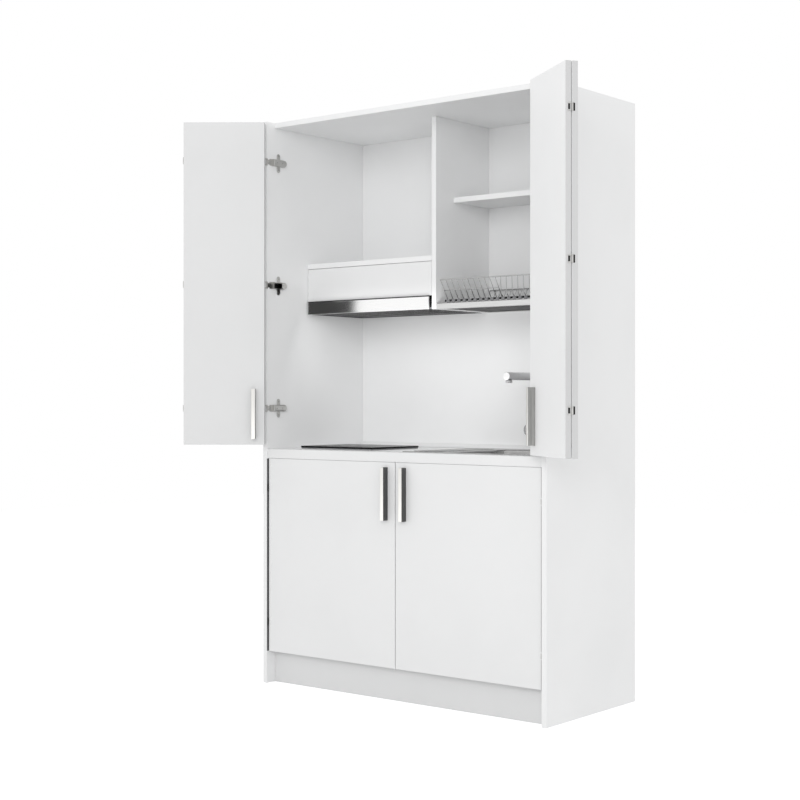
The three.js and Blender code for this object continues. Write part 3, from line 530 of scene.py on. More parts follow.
def swept(path, radius, across, sides=8):
    """A round bar along a flat path: centre + radius (cos t * across + sin t * tangent x across)."""
    path, across = np.asarray(path, float), np.asarray(across, float)
    tangent = np.gradient(path, axis=0)
    other = np.cross(tangent, across)
    other /= np.linalg.norm(other, axis=1)[:, None]
    turn = np.linspace(0.0, 2 * np.pi, sides, endpoint=False)
    ring = np.cos(turn)[None, :, None] * across + np.sin(turn)[None, :, None] * other[:, None]
    return tube_ring(path[:, None] + radius * ring)


print("shape helpers ready")

# %% [markdown]
# Some pieces have pockets, such as a leaf whose edge is milled out for its hinges. They are built from
# cells: three lists of cuts divide a block, some cells are left out, and a face stands wherever a
# filled cell meets an empty one. A Bevel modifier then softens the edges. A few pieces are right as
# the model has them, and only need their corners merged and their edges softened.


# %% Blocks with pockets, softened copies
def cell_block(xs, ys, zs, filled, label, thin):
    """Points, faces and material marks of a block of cells.

    filled and label are arrays over the cells. A face of a labelled empty cell takes its label, any
    other face takes 0 when it looks along the thin axis and 1 when it is on the rim."""
    cuts = [np.asarray(cut, float) for cut in (xs, ys, zs)]
    shape = [len(cut) for cut in cuts]
    solid = np.pad(filled, 1)
    names = np.pad(label, 1)
    faces, marks = [], []
    for axis in range(3):
        lower = tuple(slice(0, -1) if a == axis else slice(1, -1) for a in range(3))
        upper = tuple(slice(1, None) if a == axis else slice(1, -1) for a in range(3))
        spots = np.argwhere(solid[lower] != solid[upper])
        step_u, step_v = [np.eye(3, dtype=int)[a] for a in range(3) if a != axis]
        for spot in spots:
            quad = [spot, spot + step_u, spot + step_u + step_v, spot + step_v]
            leaves_up = bool(solid[lower][tuple(spot)])
            if leaves_up == (axis == 1):
                quad = quad[::-1]
            faces.append([int(np.ravel_multi_index(tuple(corner), shape)) for corner in quad])
            empty = names[upper] if leaves_up else names[lower]
            marks.append(int(empty[tuple(spot)]) or (0 if axis == thin else 1))
    used = sorted({index for face in faces for index in face})
    lookup = {index: spot for spot, index in enumerate(used)}
    corner = np.array(np.unravel_index(used, shape)).T
    points = np.stack([cuts[a][corner[:, a]] for a in range(3)], -1)
    return points, [[lookup[index] for index in face] for face in faces], marks


def soften(piece, width, segments=2):
    """A Bevel modifier, in mm, on the sharp edges only."""
    bevel = piece.modifiers.new("softened edges", "BEVEL")
    bevel.width = width * MM
    bevel.segments = segments
    bevel.limit_method = "ANGLE"
    bevel.angle_limit = math.radians(40.0)
    return piece


def softened_copy(name, material, body="carcass", width=0.6):
    """A model piece with merged corners and softened edges, in place of the plain one."""
    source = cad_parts[name].data
    co = np.zeros(len(source.vertices) * 3)
    source.vertices.foreach_get("co", co)
    corner = np.zeros(len(source.loops), np.int64)
    source.loops.foreach_get("vertex_index", corner)
    kept, where = np.unique(np.round(co.reshape(-1, 3) / MM, 3), axis=0, return_inverse=True)
    triangles = where.reshape(-1)[corner.reshape(-1, 3)]
    a, b, c = triangles.T
    live = triangles[(a != b) & (b != c) & (a != c)]
    piece = mesh_piece("soft_" + name, [(kept, live.tolist())], body, [material], smooth=False)
    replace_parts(piece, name)
    return soften(piece, width)


print("block helpers ready")

# %% [markdown]
# The picture has a pure white background and very even light. The world is white for the camera
# and for what metal reflects, and a little weaker as a lamp. A large soft lamp hangs above the
# camera, so that its shadows fall out of sight. A small one is hidden inside, under the hood, faces
# the wall and lifts the splash back, as a work light would. A dark card that only reflections see
# stands beside the hood: it draws the dark end on the metal strip, as a photographer's black flag
# does.


# %% World, lamps, floor and flag
def brightest(tree, first, second):
    """The larger of two values."""
    return node(tree, "ShaderNodeMath", {"operation": "MAXIMUM"}, {0: first, 1: second})


def sight_rays(tree):
    """1 for camera, glossy and transmission rays, and 0 for the rays that carry light."""
    rays = tree.nodes.new("ShaderNodeLightPath")
    kinds = [Wire(tree, rays.outputs["Is %s Ray" % kind]) for kind in ("Camera", "Glossy", "Transmission")]
    return brightest(tree, brightest(tree, kinds[0], kinds[1]), kinds[2])


def light_world(level):
    """A white world: full strength where it is seen, and this level where it lights the object."""
    world = bpy.data.worlds.new("studio")
    world.use_nodes = True
    tree = world.node_tree
    tree.nodes.clear()
    strength = level + (1.0 - level) * sight_rays(tree)
    sky = node(tree, "ShaderNodeBackground", None, {"Color": (1.0, 1.0, 1.0), "Strength": strength})
    end = tree.nodes.new("ShaderNodeOutputWorld")
    tree.links.new(sky.socket, end.inputs[0])
    bpy.context.scene.world = world


def soft_lamp(name, where, towards, size, watts):
    """A rectangular lamp at where that faces towards, left out of what shiny metal reflects.

    It is turned about the upright axis by atan2(x, -y) of the way back from towards to where, and
    tilted by the angle of that way over the ground."""
    data = bpy.data.lights.new(name, "AREA")
    data.shape = "RECTANGLE"
    data.size, data.size_y = size
    data.energy = watts
    lamp = bpy.data.objects.new(name, data)
    lamp.location = where
    away = [a - b for a, b in zip(where, towards)]
    turn = math.atan2(away[0], -away[1])
    tilt = math.atan2(away[2], math.hypot(away[0], away[1]))
    lamp.rotation_euler = (math.pi / 2 - tilt, 0.0, turn)
    lamp.visible_glossy = False
    bpy.context.scene.collection.objects.link(lamp)


def flat_sheet(name, corners, material):
    """One flat face of the studio, which is no part of the object."""
    data = bpy.data.meshes.new(name)
    data.from_pydata(corners, [], [(0, 1, 2, 3)])
    data.materials.append(material)
    sheet = bpy.data.objects.new(name, data)
    bpy.context.scene.collection.objects.link(sheet)
    return sheet


def floor_paint(glow):
    """Pale floor that shows nearly white, and darker only where the unit shades it."""
    material = bpy.data.materials.new("studio_floor")
    material.use_nodes = True
    tree = material.node_tree
    tree.nodes.clear()
    tint = blend_colours(tree, noise(tree, 2.0), (0.8, 0.8, 0.8), (0.82, 0.82, 0.82))
    matt = node(tree, "ShaderNodeBsdfDiffuse", None, {"Color": tint})
    strength = sight_rays(tree) * glow
    light = node(tree, "ShaderNodeEmission", None, {"Color": (1.0, 1.0, 1.0), "Strength": strength})
    both = node(tree, "ShaderNodeAddShader", None, {0: matt, 1: light})
    end = tree.nodes.new("ShaderNodeOutputMaterial")
    tree.links.new(both.socket, end.inputs[0])
    return material


FLOOR_HALF, FLAG_LOW, FLAG_HIGH = 8.0, 1.28, 1.42
FLAG_BACK, FLAG_FRONT = (-0.581, -0.068), (-0.562, -0.275)
light_world(0.82)
soft_lamp("lamp_camera", (2.9, -5.2, 2.5), (0.0, 0.0, 1.1), (3.0, 2.0), 82.0)
soft_lamp("lamp_inside", (-0.05, -0.12, 1.27), (-0.05, 0.25, 1.1), (0.86, 0.14), 0.72)
floor_corners = [(x * FLOOR_HALF, y * FLOOR_HALF, 0) for x, y in ((-1, -1), (1, -1), (1, 1), (-1, 1))]
flat_sheet("floor", floor_corners, floor_paint(0.6))
flag_paint = finish("flag_black", lambda tree: {"Base Color": (0.07, 0.07, 0.07), "Roughness": 1.0,
                                                "Specular IOR Level": 0.0})
flag = flat_sheet("flag", [(*FLAG_BACK, FLAG_LOW), (*FLAG_FRONT, FLAG_LOW), (*FLAG_FRONT, FLAG_HIGH),
                           (*FLAG_BACK, FLAG_HIGH)], flag_paint)
for sight in ("visible_camera", "visible_diffuse", "visible_shadow", "visible_transmission"):
    setattr(flag, sight, False)
print("studio ready")

# %% [markdown]
# The carcass is plain boards, sawn from large sheets and banded along their edges. The faces on the
# rim get the edge band, and the broad faces the laminate. The board is the simplest slab, and its
# softened edge is what catches the light.


# %% Boards
def board_marks(faces):
    """Edge band on the rim's faces, laminate on the two broad ones, which come last."""
    return [1] * (len(faces) - 2) + [0, 0]


def dress_board(name, face=None, rim=None, slot="white_board", **shape):
    """A softened board in place of the plain one of that name."""
    low, high = node_corners(name)
    part = slab(low, high, int(np.argmin(high - low)), **shape)
    piece = mesh_piece("board_" + name, [part], "carcass", [face or white_laminate, rim or edge_band],
                       board_marks(part[1]), smooth=False)
    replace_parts(piece, name)


for name in ("top_panel", "base_panel", "divider_panel", "hood_board", "dish_shelf", "front_rail",
             "rear_rail"):
    dress_board(name)
dress_board("hood_front_panel", door_laminate)
dress_board("back_panel", back_laminate, back_laminate, edge=0.4)
dress_board("plinth_board", plinth_laminate, plinth_laminate, slot="plinth_board")
dress_board("upstand", worktop_laminate, worktop_laminate, edge=1.5)
softened_copy("worktop", worktop_laminate, width=1.0)
print("boards made")

# %% [markdown]
# The two side panels reach from the floor to the top. They have three notches each in their front
# edge, where the knuckles of the upper hinges sit, so they are blocks with cells left out.

# %% Side panels
HANDS = ("left", "right")
SIGN = {"left": -1.0, "right": 1.0}


def middle_height(name):
    """The height of a model piece's middle."""
    low, high = node_corners(name)
    return float(low[2] + high[2]) / 2


UPPER_HINGES = tuple(middle_height("hinge_arm_upper_left_%d" % number) for number in (1, 2, 3))
LOWER_HINGES = tuple(middle_height("hinge_arm_lower_left_%d" % number) for number in (1, 2))
NOTCH_X, NOTCH_Y, NOTCH_HALF = 587.4, -261.3, 13.0

for hand in HANDS:
    low, high = node_corners("side_panel_" + hand)
    xs = sorted([low[0], SIGN[hand] * NOTCH_X, high[0]])
    zs = [low[2]] + [z + side * NOTCH_HALF for z in UPPER_HINGES for side in (-1, 1)] + [high[2]]
    filled = np.ones((2, 2, 7), bool)
    filled[1 if hand == "left" else 0, 0, 1::2] = False
    points, faces, marks = cell_block(xs, [low[1], NOTCH_Y, high[1]], zs, filled, 0 * filled, thin=0)
    side = mesh_piece("board_side_" + hand, [(points, outward(points, faces))], "carcass",
                      [white_laminate, edge_band], marks, smooth=False)
    soften(side, 0.8)
    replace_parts(side, "side_panel_" + hand)
print("upper hinges at", UPPER_HINGES, "lower hinges at", LOWER_HINGES)

# %% [markdown]
# A thin dark strip runs down each side panel beside the lower doors. It is painted shade: it stands for the
# shade in the gap and is what makes the gap look dark from the front. It is only a third of a millimetre
# thick, so the door's hinge clears it. Over the doors the worktop leaves a joint of the same kind, and
# there a white filler strip closes it, so no dark line shows under the worktop.

# %% Painted-shade gap strips and filler strip
DOOR_LOW, DOOR_HIGH = [float(corner[2]) for corner in node_corners("door_left")]
WORKTOP_UNDER = float(node_corners("worktop")[0][2])
INSIDE, SHADE_STRIP_THICK = 582.0, 0.35
SHADE_STRIP_FRONT, SHADE_STRIP_BACK = -266.4, -246.0
FILLER_FRONT, FILLER_BACK, FILLER_CLEAR = -260.2, -250.0, 0.7
for hand in HANDS:
    wall = sorted([SIGN[hand] * INSIDE, SIGN[hand] * (INSIDE - SHADE_STRIP_THICK)])
    shade_strip = slab((wall[0], SHADE_STRIP_FRONT, DOOR_LOW), (wall[1], SHADE_STRIP_BACK, DOOR_HIGH - 1.0), 0, edge=0.1)
    mesh_piece("gap_seal_" + hand, [shade_strip], "carcass", [buffer_rubber_and_gap_shade])
filler = slab((1.0 - INSIDE, FILLER_FRONT, DOOR_HIGH + FILLER_CLEAR),
              (INSIDE - 1.0, FILLER_BACK, WORKTOP_UNDER - 0.05), 2, edge=0.1)
mesh_piece("filler_strip", [filler], "carcass", [worktop_laminate], smooth=False)
print("doors reach from", DOOR_LOW, "to", DOOR_HIGH, "worktop's underside", WORKTOP_UNDER)

# %% [markdown]
# Each upper pair is a bifold: the outer leaf hangs on the side panel, and the inner leaf is folded
# flat against its back. A leaf is worked out lying closed, with the hinge axis at the origin, and is
# then turned about that axis into its open place. The right pair is the mirror image of the left.

# %% Where the leaves stand
LEAF_WIDTH, BOARD, FOLD_GAP, BACK_GAP = 284.5, 18.0, 6.0, 3.0
LEAF_LOW = {hand: float(node_corners("leaf_outer_" + hand)[0][2]) for hand in HANDS}
LEAF_HIGH = float(node_corners("leaf_outer_left")[1][2])
UPPER_AXIS, UPPER_EDGE = 583.0, 6.0
LOWER_AXIS, LOWER_EDGE = 579.5, 2.5
AXIS_Y, FACE = -264.0, 3.0
OPEN = {"left": 141.5, "right": 144.8}
FOLD_X = UPPER_EDGE + LEAF_WIDTH + FOLD_GAP / 2
FOLD_Y = FACE + BOARD + BACK_GAP / 2


def swing(points, hand, degrees, axis_x):
    """Points of a closed leaf, turned open about the upright hinge axis of one hand."""
    points = np.array(points, float)
    mirror = -SIGN[hand]
    angle = math.radians(-mirror * degrees)
    x, y = points[:, 0] * mirror, points[:, 1]
    turned_points = np.stack([math.cos(angle) * x - math.sin(angle) * y,
                              math.sin(angle) * x + math.cos(angle) * y, points[:, 2]], -1)
    return turned_points + np.array([SIGN[hand] * axis_x, AXIS_Y, 0.0])


def outer_place(points, hand):
    """Points given from the side hinge, on the outer leaf."""
    return swing(points, hand, OPEN[hand], UPPER_AXIS)


def fold_place(points, hand):
    """Points given from the fold axis, on the outer leaf."""
    return outer_place(np.asarray(points, float) + np.array([FOLD_X, FOLD_Y, 0.0]), hand)


def inner_place(points, hand):
    """Points of the inner leaf, given flat from the fold axis, folded back by half a turn."""
    return fold_place(np.asarray(points, float) * np.array([-1.0, -1.0, 1.0]), hand)


def door_place(points, hand):
    """Points given from the side hinge of a lower door, which is shut."""
    return swing(points, hand, 0.0, LOWER_AXIS)


def placed(parts, where, hand):
    """Parts moved by where(points, hand); the right hand's are mirror images, so their faces turn."""
    return [(where(points, hand), [list(face)[::-1] for face in faces] if hand == "right" else faces)
            for points, faces in parts]


print("left fold axis at", fold_place([[0, 0, 0]], "left")[0])

# %% [markdown]
# A leaf has its hinge pockets in the edge at the fold: small slots, a little longer than a thumb nail,
# between which the light knuckle of the hinge sits; the pockets are black, painted shade in the recess. The
# outer leaf has the lugs of its side hinges at the other edge: eyes above and below the fixed knuckle, each
# with a short strap. The edge band of each leaf is greyer, painted shade of the fold gap. The left pair's
# faces are a touch greyer than the right pair's: painted shade for the extra light that the left pair gets
# from the big lamp.

# %% Leaves
POCKET_DEPTH, POCKET_HALF, POCKET_FAR, POCKET_NEAR = 5.0, 11.5, 9.0, 3.6
LUG_START, LUG_TALL = 8.3, 3.7


def pocketed_leaf(edge_x, inward, face_y, hand):
    """A leaf with three pockets in the edge at edge_x. inward is the way into the board along x."""
    xs = sorted([edge_x, edge_x + inward * POCKET_DEPTH, edge_x + inward * LEAF_WIDTH])
    back_y = face_y + BOARD
    ys = [face_y, back_y - POCKET_FAR, back_y - POCKET_NEAR, back_y]
    pocket_ends = [z + side * POCKET_HALF for z in UPPER_HINGES for side in (-1, 1)]
    zs = [LEAF_LOW[hand]] + pocket_ends + [LEAF_HIGH]
    filled = np.ones((2, 3, 7), bool)
    filled[0 if inward > 0 else 1, 1, 1::2] = False
    # Label 2 gives the pocket's faces the black of painted shade.
    return cell_block(xs, ys, zs, filled, np.where(filled, 0, 2), thin=1)


def lug_pairs(heights, shape):
    """The lugs above and below each fixed knuckle: shape(low, high) gives the parts of one lug."""
    starts = [low for z in heights for low in (z + LUG_START, z - LUG_START - LUG_TALL)]
    return [part for low in starts for part in shape(low, low + LUG_TALL)]


def upper_lug(low, high):
    """A round eye on the axis, and an angled strap to the leaf's edge."""
    return [rod(2.1, low, high), slab((0.2, 0.4, low), (6.4, 2.1, high), 2, edge=0.3),
            slab((2.2, 0.4, low), (6.4, 9.0, high), 2, edge=0.3)]


def fold_lug(low, high):
    """A round eye on the fold axis, and a strap that lies on the inner leaf's edge."""
    return [rod(2.0, low, high), slab((0.2, -11.8, low), (3.4, 0.8, high), 2, edge=0.3)]


# The left pair takes the darker copy of the laminate, painted shade; the right pair takes the plain white.
LEAF_FACE = {"left": left_leaf_painted_shade, "right": white_laminate}


def hang_leaf(name, leaf, where, hand):
    """Adds one leaf board in place of its plain node."""
    points, faces, marks = leaf
    points = where(points, hand)
    piece = mesh_piece("%s_leaf_board_%s" % (name, hand), [(points, outward(points, faces))],
                       "%s_leaf_%s" % (name, hand), [LEAF_FACE[hand], leaf_edge_painted_shade, painted_shade_black],
                       marks, smooth=False)
    soften(piece, 0.7)
    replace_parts(piece, "leaf_%s_%s" % (name, hand))


for hand in HANDS:
    hang_leaf("outer", pocketed_leaf(UPPER_EDGE + LEAF_WIDTH, -1, FACE, hand), outer_place, hand)
    hang_leaf("inner", pocketed_leaf(FOLD_GAP / 2, 1, -BACK_GAP / 2 - BOARD, hand), inner_place, hand)
    mesh_piece("side_lugs_" + hand, placed(lug_pairs(UPPER_HINGES, upper_lug), outer_place, hand),
               "outer_leaf_" + hand, [hinge_nickel])
    mesh_piece("fold_lugs_" + hand, placed(lug_pairs(UPPER_HINGES, fold_lug), inner_place, hand),
               "inner_leaf_" + hand, [hinge_nickel])
print("leaves made")

# %% [markdown]
# A fold hinge shows as a light metal barrel in the gap, with a tab on each side that reaches to the
# dark pocket. The barrel and one tab belong to the outer leaf.

# %% Fold hinges
for hand in HANDS:
    for number, z in enumerate(UPPER_HINGES, 1):
        parts = [rod(2.35, z - 7.9, z + 7.9, round_off=0.4),
                 slab((-2.9, -5.0, z - 10.8), (-1.7, -1.9, z + 10.8), 0, edge=0.3),
                 slab((-2.8, -2.2, z - 7.6), (-0.6, 0.0, z + 7.6), 2, edge=0.3)]
        knuckle = mesh_piece("knuckle_%s_%d" % (hand, number), placed(parts, fold_place, hand),
                             "outer_leaf_" + hand, [hinge_nickel])
        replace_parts(knuckle, "fold_hinge_%s_%d" % (hand, number))
print("fold hinges made")

# %% [markdown]
# The lower doors are plain boards with a softened edge. Each hides the cups of its hinges in its back; the
# lugs reach past its edge to the hinge axis. They take the tone of the gap they stand in: black on the
# left, painted shade like the dark strip there, and white on the right.

# %% Lower doors
DOOR_WIDTH, CUP_RADIUS, CUP_FROM_EDGE = 575.0, 17.5, 25.5
# Black on the left is painted shade, like the dark strip behind it; white on the right.
GAP_TONE = {"left": painted_shade_black, "right": edge_band}


def lower_lug(low, high):
    """A round eye on the axis, and a strap that runs back into the door's edge."""
    return [rod(2.1, low, high), slab((-2.0, 0.4, low), (2.0, 9.0, high), 2, edge=0.3),
            slab((-0.5, 4.5, low), (3.0, 9.0, high), 2, edge=0.3)]


for hand in HANDS:
    board = slab((LOWER_EDGE, FACE, DOOR_LOW),
                 (LOWER_EDGE + DOOR_WIDTH, FACE + BOARD, DOOR_HIGH), 1, edge=0.9)
    door = mesh_piece("lower_door_board_" + hand, placed([board], door_place, hand), "lower_door_" + hand,
                      [door_laminate, door_laminate], board_marks(board[1]), smooth=False)
    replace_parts(door, "door_" + hand)
    mesh_piece("door_lugs_" + hand, placed(lug_pairs(LOWER_HINGES, lower_lug), door_place, hand),
               "lower_door_" + hand, [GAP_TONE[hand]])
    back = FACE + BOARD
    cups = [rod(CUP_RADIUS, back - 0.2, back + 1.0, (LOWER_EDGE + CUP_FROM_EDGE, z), axis=1, sides=40,
                round_off=0.5) for z in LOWER_HINGES]
    mesh_piece("door_cups_" + hand, placed(cups, door_place, hand), "lower_door_" + hand,
               [hinge_nickel])
print("lower doors made")

# %% [markdown]
# A side hinge is screwed to the side panel with a winged plate. On the plate sits a domed arm with a round
# rear end and two adjusting screws, and a flat strap runs forward from it to the knuckle on the hinge axis.
# It is drawn once in its own frame, with the axis at the origin and the panel towards -X, and then set at
# each hinge; right-hand ones are mirror images. The crosses of the screws are black, painted shade in their
# recesses. The knuckles of the left lower door, with their straps, stand in front of the dark strip and are
# black like it: painted shade.

# %% Side hinges
ARM_HALF, ARM_START, ARM_END, ARM_RISE = 12.0, 23.0, 89.0, 13.0
PLATE_Y, PLATE_HALF_WIDE, PLATE_HALF_TALL = 55.0, 7.5, 33.0


def arm_outline():
    """Square at the front, and a half circle of radius ARM_HALF at the rear."""
    turn = np.linspace(-np.pi / 2, np.pi / 2, 15)
    middle = ARM_END - ARM_HALF
    end = np.stack([middle + ARM_HALF * np.cos(turn), ARM_HALF * np.sin(turn)], -1)
    return np.concatenate([[[ARM_START, -ARM_HALF]], end, [[ARM_START, ARM_HALF]]])


def cross_screw(x, y, z, radius):
    """A domed head that looks along +X, then the two black bars of its cross, painted shade in its recess.
    """
    head = rod(radius, x - 1.0, x + 1.2, (y, z), axis=0, sides=20, round_off=0.6)
    reach, half = radius * 0.6, radius * 0.12
    bars = [slab((x + 0.6, y - reach, z - half), (x + 1.25, y + reach, z + half), 0, edge=0.02),
            slab((x + 0.6, y - half, z - reach), (x + 1.25, y + half, z + reach), 0, edge=0.02)]
    return [(head, 0)] + [(bar, 1) for bar in bars]


def hinge_arm(wall, knuckle):
    """(part, material) pairs of one hinge; wall is the panel's face from the axis.

    knuckle is the material of the first two parts, the knuckle and its strap."""
    inner = wall + 0.3
    dome = [(0.0, inner), (0.0, inner + 9.0), (0.8, inner + 11.4), (2.4, inner + 12.7),
            (4.5, inner + ARM_RISE)]
    metal = [
        rod(2.1, -8.0, 8.0, sides=20, round_off=0.4),
        slab((inner, 0.2, -7.9), (inner + 1.6, 12.0, 7.9), 0, edge=0.3),
        slab((inner, 10.0, -ARM_HALF), (inner + 1.6, 30.0, ARM_HALF), 0, edge=0.3, corner=2.0),
        tube_ring(drawn(arm_outline(), dome, 0)),
        slab((inner, PLATE_Y - PLATE_HALF_WIDE, -PLATE_HALF_TALL),
             (inner + 2.9, PLATE_Y + PLATE_HALF_WIDE, PLATE_HALF_TALL), 0, edge=0.6, corner=7.0, steps=6),
    ]
    pairs = [(part, knuckle if number < 2 else 0) for number, part in enumerate(metal)]
    for z in (-24.0, 24.0):
        pairs += cross_screw(inner + 2.9, PLATE_Y, z, 3.8)
    for y in (36.0, 64.0):
        pairs += cross_screw(inner + ARM_RISE, y, 0.0, 3.2)
    return pairs


def set_arm(name, wall, axis_x, hand, z, knuckle=0):
    """One side hinge at height z: x is turned round on the right, and moved to the hinge axis."""

    def where(points, hand):
        return points * [-SIGN[hand], 1.0, 1.0] + [SIGN[hand] * axis_x, AXIS_Y, z]

    pairs = hinge_arm(wall, knuckle)
    marks = [mark for (points, faces), mark in pairs for _ in faces]
    parts = placed([part for part, mark in pairs], where, hand)
    piece = mesh_piece("side_hinge_" + name, parts, "carcass", [hinge_nickel, painted_shade_black],
                       marks)
    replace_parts(piece, "hinge_arm_" + name)


for hand in HANDS:
    for number, z in enumerate(UPPER_HINGES, 1):
        set_arm("upper_%s_%d" % (hand, number), UPPER_AXIS - INSIDE, UPPER_AXIS, hand, z)
    # On the left, the lower hinges' knuckles and straps take the black of painted shade.
    for number, z in enumerate(LOWER_HINGES, 1):
        set_arm("lower_%s_%d" % (hand, number), LOWER_AXIS - INSIDE, LOWER_AXIS, hand, z,
                knuckle=1 if hand == "left" else 0)
print("side hinges made")

# %% [markdown]
# The handles are steel bars. Seen from above, the bar is a rectangle with small rounded corners at the
# front and a very shallow finger groove along each side. That outline is carried up the length of the
# handle, and drawn in a little at both ends. The front is brushed bright; the flanks take darker copies of
# the same steel, painted shade and painted reflection: grey on the upper pair, nearly black on the lower
# pair, where they look at the shaded gap behind.

# %% Handles
HANDLE_HALF, HANDLE_DEEP = 7.0, 25.0
HANDLE_FROM_EDGE, HANDLE_SEAT = 37.0, 0.3


def bar_outline(steps=5):
    """Foot, shallow groove as half a sine wave, then a round front corner of 1.6; then mirrored."""
    wave = np.linspace(0.0, np.pi, 9)
    bend = np.linspace(0.0, np.pi / 2, steps)
    groove = np.stack([HANDLE_HALF - 0.7 * np.sin(wave), -5.6 - 9.4 * wave / np.pi], -1)
    corner = np.stack([HANDLE_HALF - 1.6 + 1.6 * np.cos(bend),
                       1.6 - HANDLE_DEEP - 1.6 * np.sin(bend)], -1)
    half = np.concatenate([[[HANDLE_HALF, 0.0]], groove, corner])
    return np.concatenate([half, half[::-1] * [-1.0, 1.0]])


def handle_bar(middle_x, foot_y, low, high):
    """The bar, and marks that are 0 on the faces of its bright front and 1 elsewhere, on the flanks whose
    darker steel is painted shade.
    """
    outline = bar_outline()
    grid = drawn(outline, soft_levels(low, high, 1.2), 2) + [middle_x, foot_y, 0.0]
    points, faces = tube_ring(grid)
    front = (outline[:, 1] < 1.5 - HANDLE_DEEP) & (np.roll(outline[:, 1], -1) < 1.5 - HANDLE_DEEP)
    marks = np.where(np.tile(front, len(grid) - 1), 0, 1).tolist() + [1, 1]
    return (points, faces), marks


# The flank material of each handle is a darker copy of its steel: painted shade.
for hand in HANDS:
    for level, body, where, grip, foot, flank in (
            ("upper", "inner_leaf_", inner_place, FOLD_GAP / 2 + LEAF_WIDTH - HANDLE_FROM_EDGE,
             -BACK_GAP / 2 - BOARD - HANDLE_SEAT, handle_flank_grey_painted_shade),
            ("lower", "lower_door_", door_place, LOWER_EDGE + DOOR_WIDTH - HANDLE_FROM_EDGE,
             FACE - HANDLE_SEAT, handle_flank_black_painted_shade)):
        name = "handle_%s_%s" % (level, hand)
        low, high = node_corners(name)
        part, marks = handle_bar(grip, foot, low[2], high[2])
        bar = mesh_piece("%s_bar_%s" % (level, hand), placed([part], where, hand), body + hand,
                         [handle_steel, flank], marks)
        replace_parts(bar, name)
print("handles made")

# %% [markdown]
# The hood shows little: a steel strip with a thin dark lip, which is the front of the pull-out visor,
# a white panel over it and a dark underside. Behind the strip the visor is an open frame that runs
# on ledges. The strip and its lip are two slabs, so that each keeps its own softened edge.


# %% Hood
def framed(low, high, rails, height):
    """A flat rectangular frame as cells; rails are the widths at low x, high x, low y and high y."""
    xs = [low[0], low[0] + rails[0], high[0] - rails[1], high[0]]
    ys = [low[1], low[1] + rails[2], high[1] - rails[3], high[1]]
    filled = np.ones((3, 3, 1), bool)
    filled[1, 1, 0] = False
    points, faces, marks = cell_block(xs, ys, height, filled, 0 * filled, thin=2)
    return points, outward(points, faces)


low, high = node_corners("hood_visor")
STRIP_DEEP, VISOR_INSET, VISOR_RAIL, LIP = 9.0, 3.2, 22.0, 2.6
strip = slab(low, (high[0], low[1] + STRIP_DEEP, high[2] - LIP), 1, edge=0.9)
lip = slab((low[0], low[1], high[2] - LIP), (high[0], low[1] + STRIP_DEEP, high[2]), 1, edge=0.4)
frame_low = (low[0] + VISOR_INSET, low[1] + STRIP_DEEP - 1.0)
slide = framed(frame_low, (high[0] - VISOR_INSET, high[1]),
               (VISOR_RAIL, VISOR_RAIL, VISOR_RAIL + 1.0, VISOR_RAIL), (low[2] + 11.8, low[2] + 35.8))
marks = [0] * len(strip[1]) + [1] * (len(lip[1]) + len(slide[1]))
visor = mesh_piece("visor_strip_and_slide", [strip, lip, slide], "visor", [visor_steel, hood_paint],
                   marks)
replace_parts(visor, "hood_visor")
softened_copy("hood_body", hood_paint, width=0.4)
print("visor strip", low, high)

# %% [markdown]
# The grease filter lies under the hood: a sheet of expanded metal in a folded rim. A real sheet has
# thousands of openings. Here its relief is a wave in the surface, and the openings are in the finish.


# %% Grease filter
def waved_sheet(low, high, rows, columns, depth):
    """z = low + depth |sin| |sin| below and flat on top, as one closed grid of rings along x."""
    x = np.linspace(low[0], high[0], rows)
    y = np.linspace(low[1], high[1], columns)
    wave = np.abs(np.sin(np.pi * x / 9.0))[:, None] * np.abs(np.sin(np.pi * y / 9.0))[None]
    under = np.stack([*np.broadcast_arrays(x[:, None], y[None], low[2] + depth * wave)], -1)
    over = np.stack([*np.broadcast_arrays(x[:, None], y[None, ::-1], np.full((1, 1), high[2]))], -1)
    return tube_ring(np.concatenate([under, over], 1))


low, high = node_corners("hood_filter")
RIM = 12.0
rim = framed(low, high, (RIM, RIM, RIM, RIM), (low[2], high[2]))
sheet = waved_sheet((low[0] + RIM - 1, low[1] + RIM - 1, low[2] + 1.2),
                    (high[0] - RIM + 1, high[1] - RIM + 1, high[2] - 1.2), 230, 112, 1.6)
grease = mesh_piece("grease_filter", [rim, sheet], "carcass", [pan_steel, filter_mesh],
                    [0] * len(rim[1]) + [1] * len(sheet[1]))
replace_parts(grease, "hood_filter")
print("filter faces", len(sheet[1]))

# %% [markdown]
# Inside the hood are the motor, with its cooling grooves, and a fan with curved blades. Both are
# turned shapes; the grooves are a ripple in the radius, and the blades are set round the hub.

# %% Motor and fan
HOOD_CENTRE = (-295.5, 106.8)
grooves = np.linspace(1447.0, 1471.0, 49)
ripple = 45.0 + np.cos(2 * np.pi * (grooves - 1447.0) / 4.0)
motor = turned([(7.2, 1378.1), (8.0, 1378.9), (8.0, 1382.4), (7.2, 1383.1), (4.0, 1383.1), (4.0, 1439.4),
                (41.0, 1439.4), (44.0, 1440.2), (46.0, 1444.0), *zip(ripple, grooves), (46.0, 1475.0),
                (44.5, 1477.4)], HOOD_CENTRE, sides=64)
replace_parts(mesh_piece("fan_motor", [motor], "carcass", [motor_paint]), "hood_motor")

FAN_LOW, FAN_HIGH, FAN_RADIUS, BLADES = 1383.4, 1437.4, 74.0, 24


